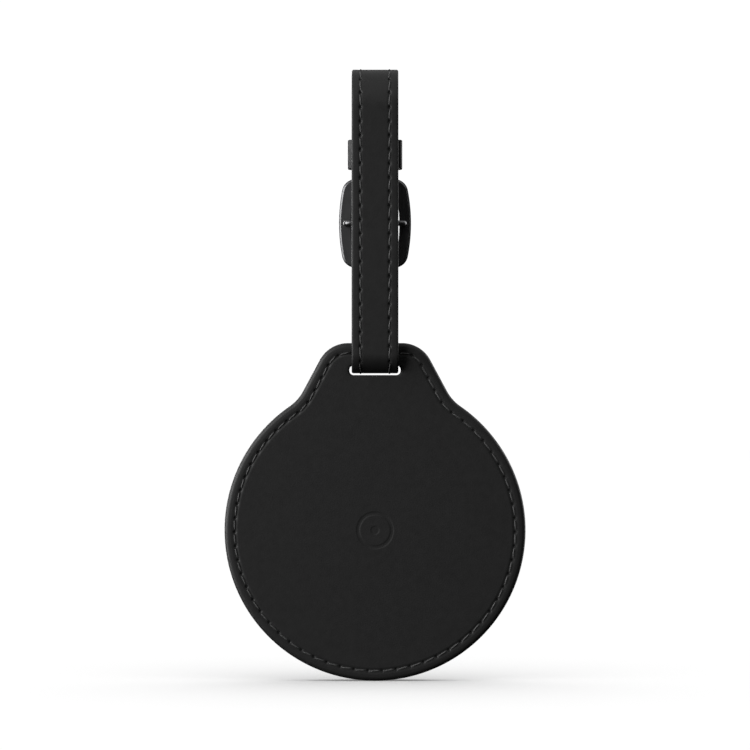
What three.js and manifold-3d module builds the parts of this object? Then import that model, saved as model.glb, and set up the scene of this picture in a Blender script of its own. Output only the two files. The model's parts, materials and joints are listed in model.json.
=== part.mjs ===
// A bluetooth tracker tag: a round leather-covered tracker that hangs in a buckled leather strap loop.
// Millimetres. X is across the tag, Y runs from the front (-) to the back (+), Z is up.
// The origin is the top of the inside of the strap loop, where the tag hangs on a handle or a hook.
import * as THREE from "three";
import { mergeVertices } from "three/addons/utils/BufferGeometryUtils.js";
import Module from "manifold-3d";

// ---------------------------------------------------------------- driving sizes

// Strap: two plies of leather glued back to back, bent into a long loop.
const STRAP_WIDTH = 10;
const PLY = 0.8;
const GLUE_LINE = 0.1;
const STRAP_THICK = 2 * PLY + GLUE_LINE;
const LOOP_HALF_GAP = 4.7; // from the middle of the loop to the strap's inner face
const ARCH_RISE = 6.3; // height of the arch inside the loop's top
const LOOP_DROP = 62.12; // inside length of the loop
const WRAP_RADIUS = 2.5; // inside radius where the strap turns under the tag's bridge
const FLEX_TOP = -45; // the loop bends freely between these two heights
const FLEX_BOTTOM = -56;
const PLAY = 0.12; // clearance between pieces that touch in real life
const LAY_GAP = 0.15; // between layers of leather that lie on each other

// Stitching: two rows on the strap, one seam round the tag.
const STRAP_SEAM_X = 3.13;
const TAG_SEAM_INSET = 2.2;
const THREAD_WIDTH = 0.5;
const GROOVE_WIDTH = 0.75;
const GROOVE_DEPTH = 0.3;
const THREAD_LIFT = 0.12; // gap between the thread and the bottom of its groove

// Tag: a disc with a tab, in leather over a core.
const DISC_RADIUS = 32.5;
const TAG_HALF_THICK = 3.2;
const COVER_THICK = 1;
const EDGE_ROUND = 0.55;
const TAB_TOP = 40.39; // heights on the tag count from the middle of the disc
const TAB_CORNER = { x: 5.83, radius: 6.93 };
const TAB_SLOPE = 28.2; // degrees from upright
const NECK_RADIUS = 9.6;
const BRIDGE = 4.55; // leather left between the slot and the top of the tab
const SLOT = { width: 11.3, height: 2.45, top: TAB_TOP - BRIDGE, corner: 0.8, flare: 0.8 };
const DISC_Z = -LOOP_DROP - (SLOT.top - PLAY);
const POCKET_RADIUS = 26.6;
const MARK = { radius: 4, line: 0.7, dot: 0.9, depth: 0.12 };

// Buckle: a bowed frame with a staple-shaped bar behind it and a loose prong.
const BAR = { y: 5.2, z: -31.3, radius: 0.6, legX: 6.35, bend: 1 };
const FOLD_RADIUS = BAR.radius + 0.1; // inside the ply that is folded round the bar
const FRAME = { width: 15.4, height: 19.2, sideRadius: 38, corner: 2.4, y: 8.7, thick: 1.3, edge: 0.35 };
const WINDOW = { width: 10.7, height: 15, sideRadius: 34, corner: 1.2 };
const PRONG = { width: 1.6, thick: 1.05, eyeRadius: 1.35, boreGap: 0.15 };
const TAIL_TIP = -11.3;
const TAIL_HOLE = { radius: 0.75, pitch: 5, z: BAR.z - 1.3, ovalHalf: 1.15, width: 2.2 };
const KEEPER = { z: -16.4, height: 6.2, wall: 0.74, corner: 0.9, slack: 0.1 };

// Electronics module: a thin round case inside the tag. Its Y levels count from the middle of the tag.
const CASE = { radius: 26.2, halfThick: 2.05, wall: 0.6, rim: 0.7, frontRimY: 0.3, rearRimY: 0.9 };
const CASE_INSIDE = CASE.halfThick - CASE.wall;
const BOSS = { ring: 23.6, radius: 1.5, bore: 0.55, head: 1.15, shank: 0.45, count: 3 };
const BOARD = { radius: 24.6, chordZ: -5.5, front: -0.55, back: -0.05 };
const CAN = { x: 10, z: 10, size: 8, thick: 0.92, sheet: 0.2 };
const BUZZER = { x: -11, z: 9, plate: 6.2, rim: 0.8, ceramic: 4.5, hole: 0.4, holeRing: 1.7, holes: 5 };
const LIGHT = { x: 0, z: 13, radius: 0.75, foot: 0.6, top: 3.15 };
const BUTTON = { radius: 3, stem: 1, foot: 0.98, underside: 2.4, top: 3.12, dome: 0.2 };
const BEZEL = { inner: 3.15, outer: 4.2, foot: 2.12, top: 3.4, edge: 0.2 };
const COIL = { inner: 9, outer: 20, front: -1.35, back: -1.05 };
const FERRITE = { radius: 20.8, front: -0.95, back: -0.75 };
const BATTERY = { width: 26, height: 13, top: -7.2, front: -0.35, back: 1.35 };

// ---------------------------------------------------------------- solids and booleans

const wasm = await Module();
wasm.setup();

function toSolid(geometry) {
  const bare = geometry.clone();
  for (const name of Object.keys(bare.attributes)) {
    if (name !== "position") bare.deleteAttribute(name);
  }
  const merged = mergeVertices(bare, 1e-4);
  return new wasm.Manifold(
    new wasm.Mesh({
      numProp: 3,
      vertProperties: merged.attributes.position.array,
      triVerts: new Uint32Array(merged.index.array),
    }),
  );
}

function toGeometry(solid) {
  const mesh = solid.getMesh();
  const geometry = new THREE.BufferGeometry();
  geometry.setAttribute("position", new THREE.BufferAttribute(mesh.vertProperties, mesh.numProp));
  geometry.setIndex(new THREE.BufferAttribute(mesh.triVerts, 1));
  geometry.computeVertexNormals();
  return geometry;
}

function cut(geometry, ...tools) {
  return toGeometry(tools.reduce((solid, tool) => solid.subtract(toSolid(tool)), toSolid(geometry)));
}

function join(geometry, ...others) {
  return toGeometry(others.reduce((solid, other) => solid.add(toSolid(other)), toSolid(geometry)));
}

// ---------------------------------------------------------------- outlines

const point = (x, y) => new THREE.Vector2(x, y);

// Points along an arc, from one angle to another in degrees, both ends included.
function arc(x, y, radius, from, to, steps) {
  return Array.from({ length: steps + 1 }, (_, i) => {
    const angle = THREE.MathUtils.degToRad(from + ((to - from) * i) / steps);
    return point(x + radius * Math.cos(angle), y + radius * Math.sin(angle));
  });
}

function circle(x, y, radius, steps) {
  return arc(x, y, radius, 0, 360, steps).slice(0, -1);
}

// Adds the mirror image in x = 0 to the right half of an outline that runs from top to bottom.
function mirrored(rightHalf) {
  return [...rightHalf, ...rightHalf.map((p) => point(-p.x, p.y)).reverse()];
}

// A line moved sideways, to the left of its direction of travel. A closed line is an outline.
function offset(line, distance, closed = false) {
  const last = line.length - 1;
  return line.map((here, i) => {
    const before = closed ? line.at(i - 1) : line[Math.max(i - 1, 0)];
    const after = closed ? line[(i + 1) % line.length] : line[Math.min(i + 1, last)];
    const arriving = here.clone().sub(before).normalize();
    const leaving = after.clone().sub(here).normalize();
    const along = arriving.add(leaving).normalize();
    const start = i === 0 && !closed ? leaving : here.clone().sub(before).normalize();
    const widen = 1 / Math.max(along.dot(start), 0.5);
    return point(here.x - along.y * distance * widen, here.y + along.x * distance * widen);
  });
}

// Four round corners and four sides, the left and right ones bowed outwards.
function bowedOutline({ width, height, sideRadius, corner }) {
  const bowX = width / 2 - sideRadius;
  const cornerZ = height / 2 - corner;
  const cornerX = bowX + Math.sqrt((sideRadius - corner) ** 2 - cornerZ ** 2);
  const tangent = THREE.MathUtils.radToDeg(Math.asin(cornerZ / (sideRadius - corner)));
  return mirrored([
    ...arc(cornerX, cornerZ, corner, 90, tangent, 4),
    ...arc(bowX, 0, sideRadius, tangent, -tangent, 6).slice(1, -1),
    ...arc(cornerX, -cornerZ, corner, -tangent, -90, 4),
  ]);
}

function roundedRectangle(x, y, width, height, corner, steps) {
  const right = x + width / 2 - corner;
  const left = x - width / 2 + corner;
  const top = y + height / 2 - corner;
  const bottom = y - height / 2 + corner;
  return [
    ...arc(right, top, corner, 0, 90, steps),
    ...arc(left, top, corner, 90, 180, steps),
    ...arc(left, bottom, corner, 180, 270, steps),
    ...arc(right, bottom, corner, 270, 360, steps),
  ];
}

// ---------------------------------------------------------------- solid makers

const EXTRUDE = { bevelEnabled: false, steps: 1 };

// Extrudes an outline drawn in X and Z, from one Y level to the next.
function plate(outline, fromY, toY, holes = []) {
  const shape = new THREE.Shape(outline);
  shape.holes = holes.map((hole) => new THREE.Path(hole));
  const geometry = new THREE.ExtrudeGeometry(shape, { ...EXTRUDE, depth: toY - fromY });
  return geometry.rotateX(Math.PI / 2).translate(0, toY, 0);
}

// Extrudes an outline drawn in Y and Z across X, centred on a given x.
function acrossX(outline, width, x = 0, holes = []) {
  const shape = new THREE.Shape(outline);
  shape.holes = holes.map((hole) => new THREE.Path(hole));
  const geometry = new THREE.ExtrudeGeometry(shape, { ...EXTRUDE, depth: width });
  const turn = new THREE.Matrix4().makeBasis(
    new THREE.Vector3(0, 1, 0),
    new THREE.Vector3(0, 0, 1),
    new THREE.Vector3(1, 0, 0),
  );
  return geometry.applyMatrix4(turn).translate(x - width / 2, 0, 0);
}

// A strip that follows a line in Y and Z, between two offsets from it.
function ribbon(line, inner, outer, width, x = 0) {
  const outline = [...offset(line, outer), ...offset(line, inner).reverse()];
  return acrossX(outline, width, x);
}

// A solid through a stack of outlines in X and Z with equal point counts, from the front level to the back.
function loft(levels) {
  const stack = levels.map(({ outline, y }) => ({
    outline: THREE.ShapeUtils.isClockWise(outline) ? [...outline].reverse() : outline,
    y,
  }));
  const count = stack[0].outline.length;
  const positions = stack.flatMap(({ outline, y }) => outline.flatMap((p) => [p.x, y, p.y]));
  const back = (stack.length - 1) * count;
  const index = [];
  for (const [a, b, c] of THREE.ShapeUtils.triangulateShape(stack[0].outline, [])) {
    index.push(a, b, c, back + c, back + b, back + a);
  }
  for (let level = 0; level < back; level += count) {
    for (let i = 0; i < count; i++) {
      const next = (i + 1) % count;
      index.push(level + i, level + count + i, level + next);
      index.push(level + next, level + count + i, level + count + next);
    }
  }
  const geometry = new THREE.BufferGeometry();
  geometry.setAttribute("position", new THREE.Float32BufferAttribute(positions, 3));
  geometry.setIndex(index);
  geometry.computeVertexNormals();
  return geometry;
}

// Turns a profile of [radius, y] points round the Y axis through (x, z).
function turned(profile, segments, x = 0, z = 0) {
  const points = profile.map(([radius, y]) => point(radius, y));
  const area = points.reduce((sum, p, i) => sum + p.cross(points[(i + 1) % points.length]), 0);
  const outward = area < 0 ? points.reverse() : points;
  return new THREE.LatheGeometry([...outward, outward[0].clone()], segments).translate(x, 0, z);
}

function rod(radius, fromY, toY, segments, x = 0, z = 0) {
  return turned([[0, fromY], [radius, fromY], [radius, toY], [0, toY]], segments, x, z);
}

function ring(inner, outer, fromY, toY, segments, x = 0, z = 0) {
  return turned([[inner, fromY], [outer, fromY], [outer, toY], [inner, toY]], segments, x, z);
}

function block(width, fromY, toY, height, x, z) {
  return new THREE.BoxGeometry(width, toY - fromY, height).translate(x, (fromY + toY) / 2, z);
}

// A round wire along a curve, closed at both ends.
function wire(curve, radius, steps, sides) {
  const section = new THREE.Shape(circle(0, 0, radius, sides));
  return new THREE.ExtrudeGeometry(section, { steps, bevelEnabled: false, extrudePath: curve });
}

// ---------------------------------------------------------------- strap

const RUN_Y = LOOP_HALF_GAP + STRAP_THICK / 2; // the strap's middle on its straight runs
const PLY_MIDDLE = (PLY + GLUE_LINE) / 2; // from the strap's middle to the middle of one ply
const LINING = [-STRAP_THICK / 2, -GLUE_LINE / 2];
const OUTER = [GLUE_LINE / 2, STRAP_THICK / 2];
const FLAP_START = BAR.z + 3; // here the outer ply leaves the lining to go round the bar
const FLAP_END = BAR.z + 9;
const TAIL_Y = RUN_Y + STRAP_THICK + LAY_GAP; // the tail's middle where it lies on the rear run

// All lines of the strap run the same way, with its outer ply on their left: down the tail, round the
// tag's bridge, up the front run, over the arch and down the rear run to the buckle.
function loopLine(rearEnd) {
  const rise = ARCH_RISE + STRAP_THICK / 2;
  const arch = arc(0, 0, 1, 180, 0, 14).map((p) => point(p.x * RUN_Y, p.y * rise - ARCH_RISE));
  return [point(-RUN_Y, FLEX_TOP), ...arch, point(RUN_Y, rearEnd)];
}

// The outer ply follows the loop, folds round the buckle's bar and comes back up on the inside.
function outerPlyLine() {
  const down = offset(loopLine(FLAP_START), PLY_MIDDLE);
  const round = arc(BAR.y, BAR.z, FOLD_RADIUS + PLY / 2, 0, -180, 8);
  return [...down, ...round, point(RUN_Y - PLY_MIDDLE, FLAP_START), point(RUN_Y - PLY_MIDDLE, FLAP_END)];
}

// The tail lies on the strap above the bar, and comes down over the folded end to the tag.
function tailLine() {
  const crestY = BAR.y + FOLD_RADIUS + PLY + LAY_GAP + STRAP_THICK / 2;
  const rise = new THREE.CubicBezierCurve(
    point(RUN_Y, FLEX_TOP),
    point(RUN_Y, FLEX_TOP + 6),
    point(crestY, BAR.z - 6),
    point(crestY, BAR.z),
  );
  const settle = new THREE.CubicBezierCurve(
    point(crestY, BAR.z),
    point(crestY, BAR.z + 2),
    point(TAIL_Y, BAR.z + 3),
    point(TAIL_Y, BAR.z + 6),
  );
  return [...rise.getPoints(8), ...settle.getPoints(4).slice(1), point(TAIL_Y, TAIL_TIP)].reverse();
}

// Down the back of the tag, through its slot under the bridge, and up the front.
function wrapLine() {
  const radius = WRAP_RADIUS + STRAP_THICK / 2;
  const cornerY = RUN_Y - radius;
  const cornerZ = -LOOP_DROP + WRAP_RADIUS;
  return [
    point(RUN_Y, FLEX_BOTTOM),
    ...arc(cornerY, cornerZ, radius, 0, -90, 5),
    ...arc(-cornerY, cornerZ, radius, -90, -180, 5),
    point(-RUN_Y, FLEX_BOTTOM),
  ];
}

// Lengthens the ends of a line, so that a groove runs out through them.
function runOut(line, distance) {
  const beyond = (end, inner) => end.clone().add(end.clone().sub(inner).setLength(distance));
  return [beyond(line[0], line[1]), ...line, beyond(line.at(-1), line.at(-2))];
}

// The part of the tail's line that is sewn, up to a distance from its rounded tip.
function sewnTail(margin) {
  return [point(TAIL_Y, TAIL_TIP - margin), ...tailLine().slice(1)];
}

function seamGrooves(line) {
  const depth = STRAP_THICK / 2 - GROOVE_DEPTH;
  return [-STRAP_SEAM_X, STRAP_SEAM_X].map((x) => ribbon(line, depth, STRAP_THICK, GROOVE_WIDTH, x));
}

function seamThread(line, x) {
  const lowest = STRAP_THICK / 2 - GROOVE_DEPTH + THREAD_LIFT;
  return ribbon(line, lowest, STRAP_THICK / 2, THREAD_WIDTH, x);
}

function strapOuter() {
  const strip = ribbon(outerPlyLine(), -PLY / 2, PLY / 2, STRAP_WIDTH);
  const around = FOLD_RADIUS + PLY + 0.5;
  const notch = block(TAIL_HOLE.width, BAR.y - around, BAR.y + around, 2 * around, 0, BAR.z);
  return cut(strip, notch, ...seamGrooves(runOut(loopLine(FLAP_START + 4), 0.3)));
}

function strapLining() {
  return ribbon(loopLine(FLAP_END + 0.3), ...LINING, STRAP_WIDTH);
}

// Keeps the rounded tip of the tail, seen from behind.
function tailTipTrim() {
  const radius = STRAP_WIDTH / 2;
  const shoulder = TAIL_TIP - radius;
  const outline = [
    ...arc(0, shoulder, radius, 0, 180, 12),
    point(-STRAP_WIDTH, shoulder),
    point(-STRAP_WIDTH, 0),
    point(STRAP_WIDTH, 0),
    point(STRAP_WIDTH, shoulder),
  ];
  return plate(outline, BAR.y, FRAME.y + 1);
}

// The punched holes of the tail; the one on the prong has pulled out to an oval.
function tailHoles() {
  const reach = [BAR.y - 1, FRAME.y + 1];
  const heights = [-1, 1, 2].map((k) => TAIL_HOLE.z - k * TAIL_HOLE.pitch);
  const round = heights.map((z) => rod(TAIL_HOLE.radius, ...reach, 12, 0, z));
  const half = TAIL_HOLE.width / 2;
  const oval = [
    ...arc(0, TAIL_HOLE.z + TAIL_HOLE.ovalHalf, half, 0, 180, 6),
    ...arc(0, TAIL_HOLE.z - TAIL_HOLE.ovalHalf, half, 180, 360, 6),
  ];
  return [...round, plate(oval, ...reach)];
}

function tailPly([inner, outer]) {
  return cut(ribbon(tailLine(), inner, outer, STRAP_WIDTH), tailTipTrim(), ...tailHoles());
}

function tailOuter() {
  return cut(tailPly(OUTER), ...seamGrooves(runOut(sewnTail(3.3), 0.3)));
}

function wrapOuter() {
  return cut(ribbon(wrapLine(), ...OUTER, STRAP_WIDTH), ...seamGrooves(runOut(wrapLine(), 0.3)));
}

// A piece of the loop's run where it bends when the tag swings.
function flexPiece(side) {
  const gap = 0.15;
  const y = side * RUN_Y;
  const line = [point(y, FLEX_BOTTOM + gap), point(y, FLEX_TOP - gap)];
  return ribbon(line, -STRAP_THICK / 2, STRAP_THICK / 2, STRAP_WIDTH);
}

// ---------------------------------------------------------------- buckle and keeper

function buckleFrame() {
  const outline = bowedOutline(FRAME);
  const slim = offset(outline, -FRAME.edge, true);
  const back = FRAME.y + FRAME.thick;
  const solid = loft([
    { outline: slim, y: FRAME.y },
    { outline, y: FRAME.y + FRAME.edge },
    { outline, y: back - FRAME.edge },
    { outline: slim, y: back },
  ]);
  return cut(solid, plate(bowedOutline(WINDOW), FRAME.y - 1, back + 1)).translate(0, 0, BAR.z);
}

// A staple of round wire: the bar lies across, and its two legs stand on the frame's side rails.
function buckleBar() {
  const legY = FRAME.y - PLAY;
  const bentX = BAR.legX - BAR.bend;
  const bentY = BAR.y + BAR.bend;
  const at = (x, y) => new THREE.Vector3(x, y, BAR.z);
  const path = new THREE.CurvePath();
  path.add(new THREE.LineCurve3(at(-BAR.legX, legY), at(-BAR.legX, bentY)));
  path.add(new THREE.QuadraticBezierCurve3(at(-BAR.legX, bentY), at(-BAR.legX, BAR.y), at(-bentX, BAR.y)));
  path.add(new THREE.LineCurve3(at(-bentX, BAR.y), at(bentX, BAR.y)));
  path.add(new THREE.QuadraticBezierCurve3(at(bentX, BAR.y), at(BAR.legX, BAR.y), at(BAR.legX, bentY)));
  path.add(new THREE.LineCurve3(at(BAR.legX, bentY), at(BAR.legX, legY)));
  return wire(path, BAR.radius, 24, 8);
}

// An eye round the bar and a bent shank that ends on the frame's lower rail.
function buckleProng() {
  const eye = acrossX(circle(BAR.y, BAR.z, PRONG.eyeRadius, 18), PRONG.width, 0, [
    circle(BAR.y, BAR.z, BAR.radius + PRONG.boreGap, 14),
  ]);
  const tipY = FRAME.y + FRAME.thick + PRONG.thick / 2 + PLAY;
  const shankLine = new THREE.SplineCurve([
    point(BAR.y + 0.75, BAR.z - 0.62),
    point(BAR.y + 3.2, BAR.z - 2.1),
    point(tipY - 0.55, BAR.z - 4.2),
    point(tipY, BAR.z - 6.8),
    point(tipY - 0.02, BAR.z - 9.1),
  ]).getPoints(12);
  return join(eye, ribbon(shankLine, -PRONG.thick / 2, PRONG.thick / 2, PRONG.width));
}

// A flat leather band round both layers of the strap.
function keeperLoop() {
  const { wall, corner, slack, height, z } = KEEPER;
  const innerY = LOOP_HALF_GAP - LAY_GAP;
  const outerY = TAIL_Y + STRAP_THICK / 2 + LAY_GAP;
  const depth = outerY - innerY;
  const width = STRAP_WIDTH + 2 * slack;
  const middle = (innerY + outerY) / 2;
  const shape = new THREE.Shape(roundedRectangle(0, middle, width + 2 * wall, depth + 2 * wall, corner, 3));
  shape.holes = [new THREE.Path(roundedRectangle(0, middle, width, depth, corner - wall, 1))];
  return new THREE.ExtrudeGeometry(shape, { ...EXTRUDE, depth: height }).translate(0, 0, z - height / 2);
}

// ---------------------------------------------------------------- leather tag

// The disc, the concave neck, the sloping side and the round corner of the tab, worked out by tangents.
function tagOutline() {
  const slope = THREE.MathUtils.degToRad(TAB_SLOPE);
  const outward = point(Math.cos(slope), Math.sin(slope));
  const downward = point(Math.sin(slope), -Math.cos(slope));
  const corner = point(TAB_CORNER.x, TAB_TOP - TAB_CORNER.radius);
  const reach = outward.dot(corner) + TAB_CORNER.radius + NECK_RADIUS;
  const along = -Math.sqrt((DISC_RADIUS + NECK_RADIUS) ** 2 - reach ** 2);
  const neck = outward.clone().multiplyScalar(reach).add(downward.clone().multiplyScalar(along));
  const neckAngle = THREE.MathUtils.radToDeg(Math.atan2(neck.y, neck.x));
  return mirrored([
    ...arc(corner.x, corner.y, TAB_CORNER.radius, 90, TAB_SLOPE, 5),
    ...arc(neck.x, neck.y, NECK_RADIUS, 180 + TAB_SLOPE, 180 + neckAngle, 4),
    ...arc(0, 0, DISC_RADIUS, neckAngle, -88, 24).slice(1),
  ]);
}

const TAG_OUTLINE = tagOutline();
const tagInset = (distance) => offset(TAG_OUTLINE, -distance, true);

function slotOutline(grow) {
  const middle = SLOT.top - SLOT.height / 2;
  return roundedRectangle(0, middle, SLOT.width + 2 * grow, SLOT.height + 2 * grow, SLOT.corner + grow, 3);
}

// The slot through the tag, flared at both faces so that the strap turns over a soft edge.
function slotTool() {
  const face = TAG_HALF_THICK;
  return loft([
    { outline: slotOutline(SLOT.flare + 0.1), y: -face - 0.1 },
    { outline: slotOutline(0), y: SLOT.flare - face },
    { outline: slotOutline(0), y: face - SLOT.flare },
    { outline: slotOutline(SLOT.flare + 0.1), y: face + 0.1 },
  ]);
}

// One leather cover. side is -1 for the front and 1 for the rear.
function leatherCover(side) {
  const face = TAG_HALF_THICK;
  const levels = [
    { outline: TAG_OUTLINE, y: side * (face - COVER_THICK) },
    { outline: TAG_OUTLINE, y: side * (face - EDGE_ROUND) },
    { outline: tagInset(EDGE_ROUND * 0.3), y: side * (face - EDGE_ROUND * 0.3) },
    { outline: tagInset(EDGE_ROUND), y: side * face },
  ];
  const solid = loft(levels.sort((a, b) => a.y - b.y));
  return cut(solid, slotTool(), tagSeam(side, GROOVE_WIDTH, GROOVE_DEPTH, -0.3));
}

// A closed band that follows the tag's seam. It reaches from one depth below the face up to another.
function tagSeam(side, width, deepest, shallowest) {
  const face = TAG_HALF_THICK;
  const [front, back] = [side * (face - deepest), side * (face - shallowest)].sort((a, b) => a - b);
  const outside = plate(tagInset(TAG_SEAM_INSET - width / 2), front, back);
  const inside = plate(tagInset(TAG_SEAM_INSET + width / 2), front - 1, back + 1);
  return cut(outside, inside);
}

// A ring round a dot, pressed into the leather over the middle of the charging coil.
function coilMark() {
  const reach = [-TAG_HALF_THICK - 1, MARK.depth - TAG_HALF_THICK];
  return join(ring(MARK.radius - MARK.line, MARK.radius, ...reach, 32), rod(MARK.dot, ...reach, 12));
}

function frontCover() {
  return cut(leatherCover(-1), coilMark());
}

function soundHoles(fromY, toY) {
  return circle(BUZZER.x, BUZZER.z, BUZZER.holeRing, BUZZER.holes).map((p) =>
    rod(BUZZER.hole, fromY, toY, 8, p.x, p.y),
  );
}

function rearCover() {
  const reach = [TAG_HALF_THICK - COVER_THICK - 0.5, TAG_HALF_THICK + 0.5];
  return cut(
    leatherCover(1),
    rod(BEZEL.outer + PLAY, ...reach, 24),
    rod(LIGHT.radius + PLAY, ...reach, 10, LIGHT.x, LIGHT.z),
    ...soundHoles(...reach),
  );
}

// The filler that gives the tag its thickness and holds the case in a round pocket.
function coreFrame() {
  const half = TAG_HALF_THICK - COVER_THICK - 0.1;
  return cut(plate(TAG_OUTLINE, -half, half), slotTool(), rod(POCKET_RADIUS, -half - 1, half + 1, 48));
}

// ---------------------------------------------------------------- case of the module

function bossPlaces() {
  const step = 360 / BOSS.count;
  return arc(0, 0, BOSS.ring, 90, 90 + 360 - step, BOSS.count - 1);
}

// A rod at each of the places where a screw holds the case together.
function atBosses(radius, fromY, toY) {
  return bossPlaces().map((p) => rod(radius, fromY, toY, 12, p.x, p.y));
}

function frontShell() {
  const floor = -CASE_INSIDE;
  const tray = turned(
    [
      [0, -CASE.halfThick],
      [CASE.radius, -CASE.halfThick],
      [CASE.radius, CASE.frontRimY],
      [CASE.radius - CASE.rim, CASE.frontRimY],
      [CASE.radius - CASE.rim, floor],
      [0, floor],
    ],
    40,
  );
  const posts = atBosses(BOSS.radius, floor - CASE.wall / 2, CASE.frontRimY);
  const bores = atBosses(BOSS.bore, floor + CASE.wall / 2, CASE.halfThick);
  return cut(join(tray, ...posts), ...bores);
}

function rearShell() {
  const ceiling = CASE_INSIDE;
  const outside = CASE.halfThick + 1;
  const lid = turned(
    [
      [0, ceiling],
      [CASE.radius - CASE.rim, ceiling],
      [CASE.radius - CASE.rim, CASE.rearRimY],
      [CASE.radius, CASE.rearRimY],
      [CASE.radius, CASE.halfThick],
      [0, CASE.halfThick],
    ],
    40,
  );
  return cut(
    join(lid, ...atBosses(BOSS.radius, CASE.frontRimY + 0.1, ceiling + CASE.wall / 2)),
    ...atBosses(BOSS.bore, 0, outside),
    ...atBosses(BOSS.head, ceiling, outside),
    ...soundHoles(0, outside),
    rod(BUTTON.stem + 0.2, 0, outside, 16),
    rod(LIGHT.radius + PLAY, 0, outside, 10, LIGHT.x, LIGHT.z),
  );
}

function shellGasket() {
  const gap = 0.05;
  return ring(CASE.radius - CASE.rim, CASE.radius, CASE.frontRimY + gap, CASE.rearRimY - gap, 40);
}

function shellScrew({ x, y: z }) {
  const headY = CASE_INSIDE + 0.08;
  const tipY = 0.5 - CASE_INSIDE;
  return turned(
    [
      [0, tipY],
      [BOSS.shank, tipY + 0.25],
      [BOSS.shank, headY],
      [BOSS.head - PLAY, headY],
      [BOSS.head - PLAY, CASE.halfThick - 0.1],
      [0, CASE.halfThick - 0.1],
    ],
    12,
    x,
    z,
  );
}

// ---------------------------------------------------------------- board, battery, coil and buzzer

// A round board cut off straight below, with room for the case's posts and the buzzer.
function circuitBoard() {
  const { radius, chordZ, front, back } = BOARD;
  const edge = THREE.MathUtils.radToDeg(Math.asin(chordZ / radius));
  const outline = arc(0, 0, radius, edge, 180 - edge, 32);
  const through = [front - 1, back + 1];
  const round = rod(BUZZER.plate + 0.5, ...through, 20, BUZZER.x, BUZZER.z);
  return cut(plate(outline, front, back), round, ...atBosses(BOSS.radius + 0.3, ...through));
}

// A component that stands on the back of the board, clear of it by its solder.
function onBoard([width, thick, height], [x, z]) {
  const foot = BOARD.back + 0.03;
  return block(width, foot, foot + thick, height, x, z);
}

// A sheet metal lid over the radio chip, open towards the board.
function shieldCan() {
  const { x, z, size, thick, sheet } = CAN;
  const inside = size - 2 * sheet;
  const lid = onBoard([size, thick, size], [x, z]);
  return cut(lid, block(inside, BOARD.back - 1, BOARD.back + thick - sheet, inside, x, z));
}

// The switch under the button, with a well for its actuator.
function tactSwitch() {
  return cut(onBoard([3.4, 0.62, 3.4], [0, 0]), rod(0.75, BOARD.back - 1, 1, 12));
}

// A pouch cell with rounded edges.
function batteryCell() {
  const { width, height, top, front, back } = BATTERY;
  const soft = 0.4;
  const full = roundedRectangle(0, top - height / 2, width, height, 1.2, 2);
  const slim = roundedRectangle(0, top - height / 2, width - 2 * soft, height - 2 * soft, 1.2, 2);
  return loft([
    { outline: slim, y: front },
    { outline: full, y: front + soft },
    { outline: full, y: back - soft },
    { outline: slim, y: back },
  ]);
}

// A short lead that arches from the battery's end to the board.
function batteryLead(x) {
  const start = new THREE.Vector3(x, 0.5, BATTERY.top + 0.12);
  const bow = [new THREE.Vector3(x, 0.75, BATTERY.top + 1.4), new THREE.Vector3(x, 0.8, BOARD.chordZ + 1.2)];
  const end = new THREE.Vector3(x, 0.35, BOARD.chordZ + 2.6);
  return wire(new THREE.CatmullRomCurve3([start, ...bow, end]), 0.3, 8, 8);
}

function buttonCap() {
  const { radius, stem, foot, underside, top, dome } = BUTTON;
  return turned(
    [
      [0, foot],
      [stem, foot],
      [stem, underside],
      [radius, underside],
      [radius, top - dome],
      [radius - dome, top],
      [0, top],
    ],
    24,
  );
}

function buttonBezel() {
  const { inner, outer, foot, top, edge } = BEZEL;
  return turned(
    [
      [inner, foot],
      [outer, foot],
      [outer, top - edge],
      [outer - edge, top],
      [inner + edge, top],
      [inner, top - edge],
    ],
    24,
  );
}

// ---------------------------------------------------------------- materials

function finish(color, roughness, metalness = 0) {
  return new THREE.MeshStandardMaterial({ color, roughness, metalness });
}

const leather = finish(0x28282a, 0.55);
const lining = finish(0x2c2c2e, 0.7);
const thread = finish(0x3c3c3e, 0.8);
const blackMetal = finish(0x2e2f31, 0.35, 0.9);
const steel = finish(0xb8bbc0, 0.3, 1);
const copper = finish(0xb8713a, 0.35, 1);
const brass = finish(0xc9a648, 0.35, 1);
const casePlastic = finish(0x1b1c1e, 0.6);
const boardGreen = finish(0x14402b, 0.5);
const chipBlack = finish(0x18181a, 0.4);
const ceramic = finish(0xe6e0d2, 0.5);
const foil = finish(0xa9acb0, 0.35, 0.8);
const foam = finish(0x3a3b3d, 0.95);
const redWire = finish(0xb3201c, 0.45);
const blackWire = finish(0x151515, 0.45);
const ferrite = finish(0x303033, 0.75);
const clearPlastic = finish(0xdfe6ea, 0.15);
const gasketRubber = finish(0x222224, 0.85);

// ---------------------------------------------------------------- assembly

function add(parent, name, geometry, material) {
  const mesh = new THREE.Mesh(geometry, material);
  mesh.name = name;
  parent.add(mesh);
}

const SEAM_SIDES = { left: -STRAP_SEAM_X, right: STRAP_SEAM_X };

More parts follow.
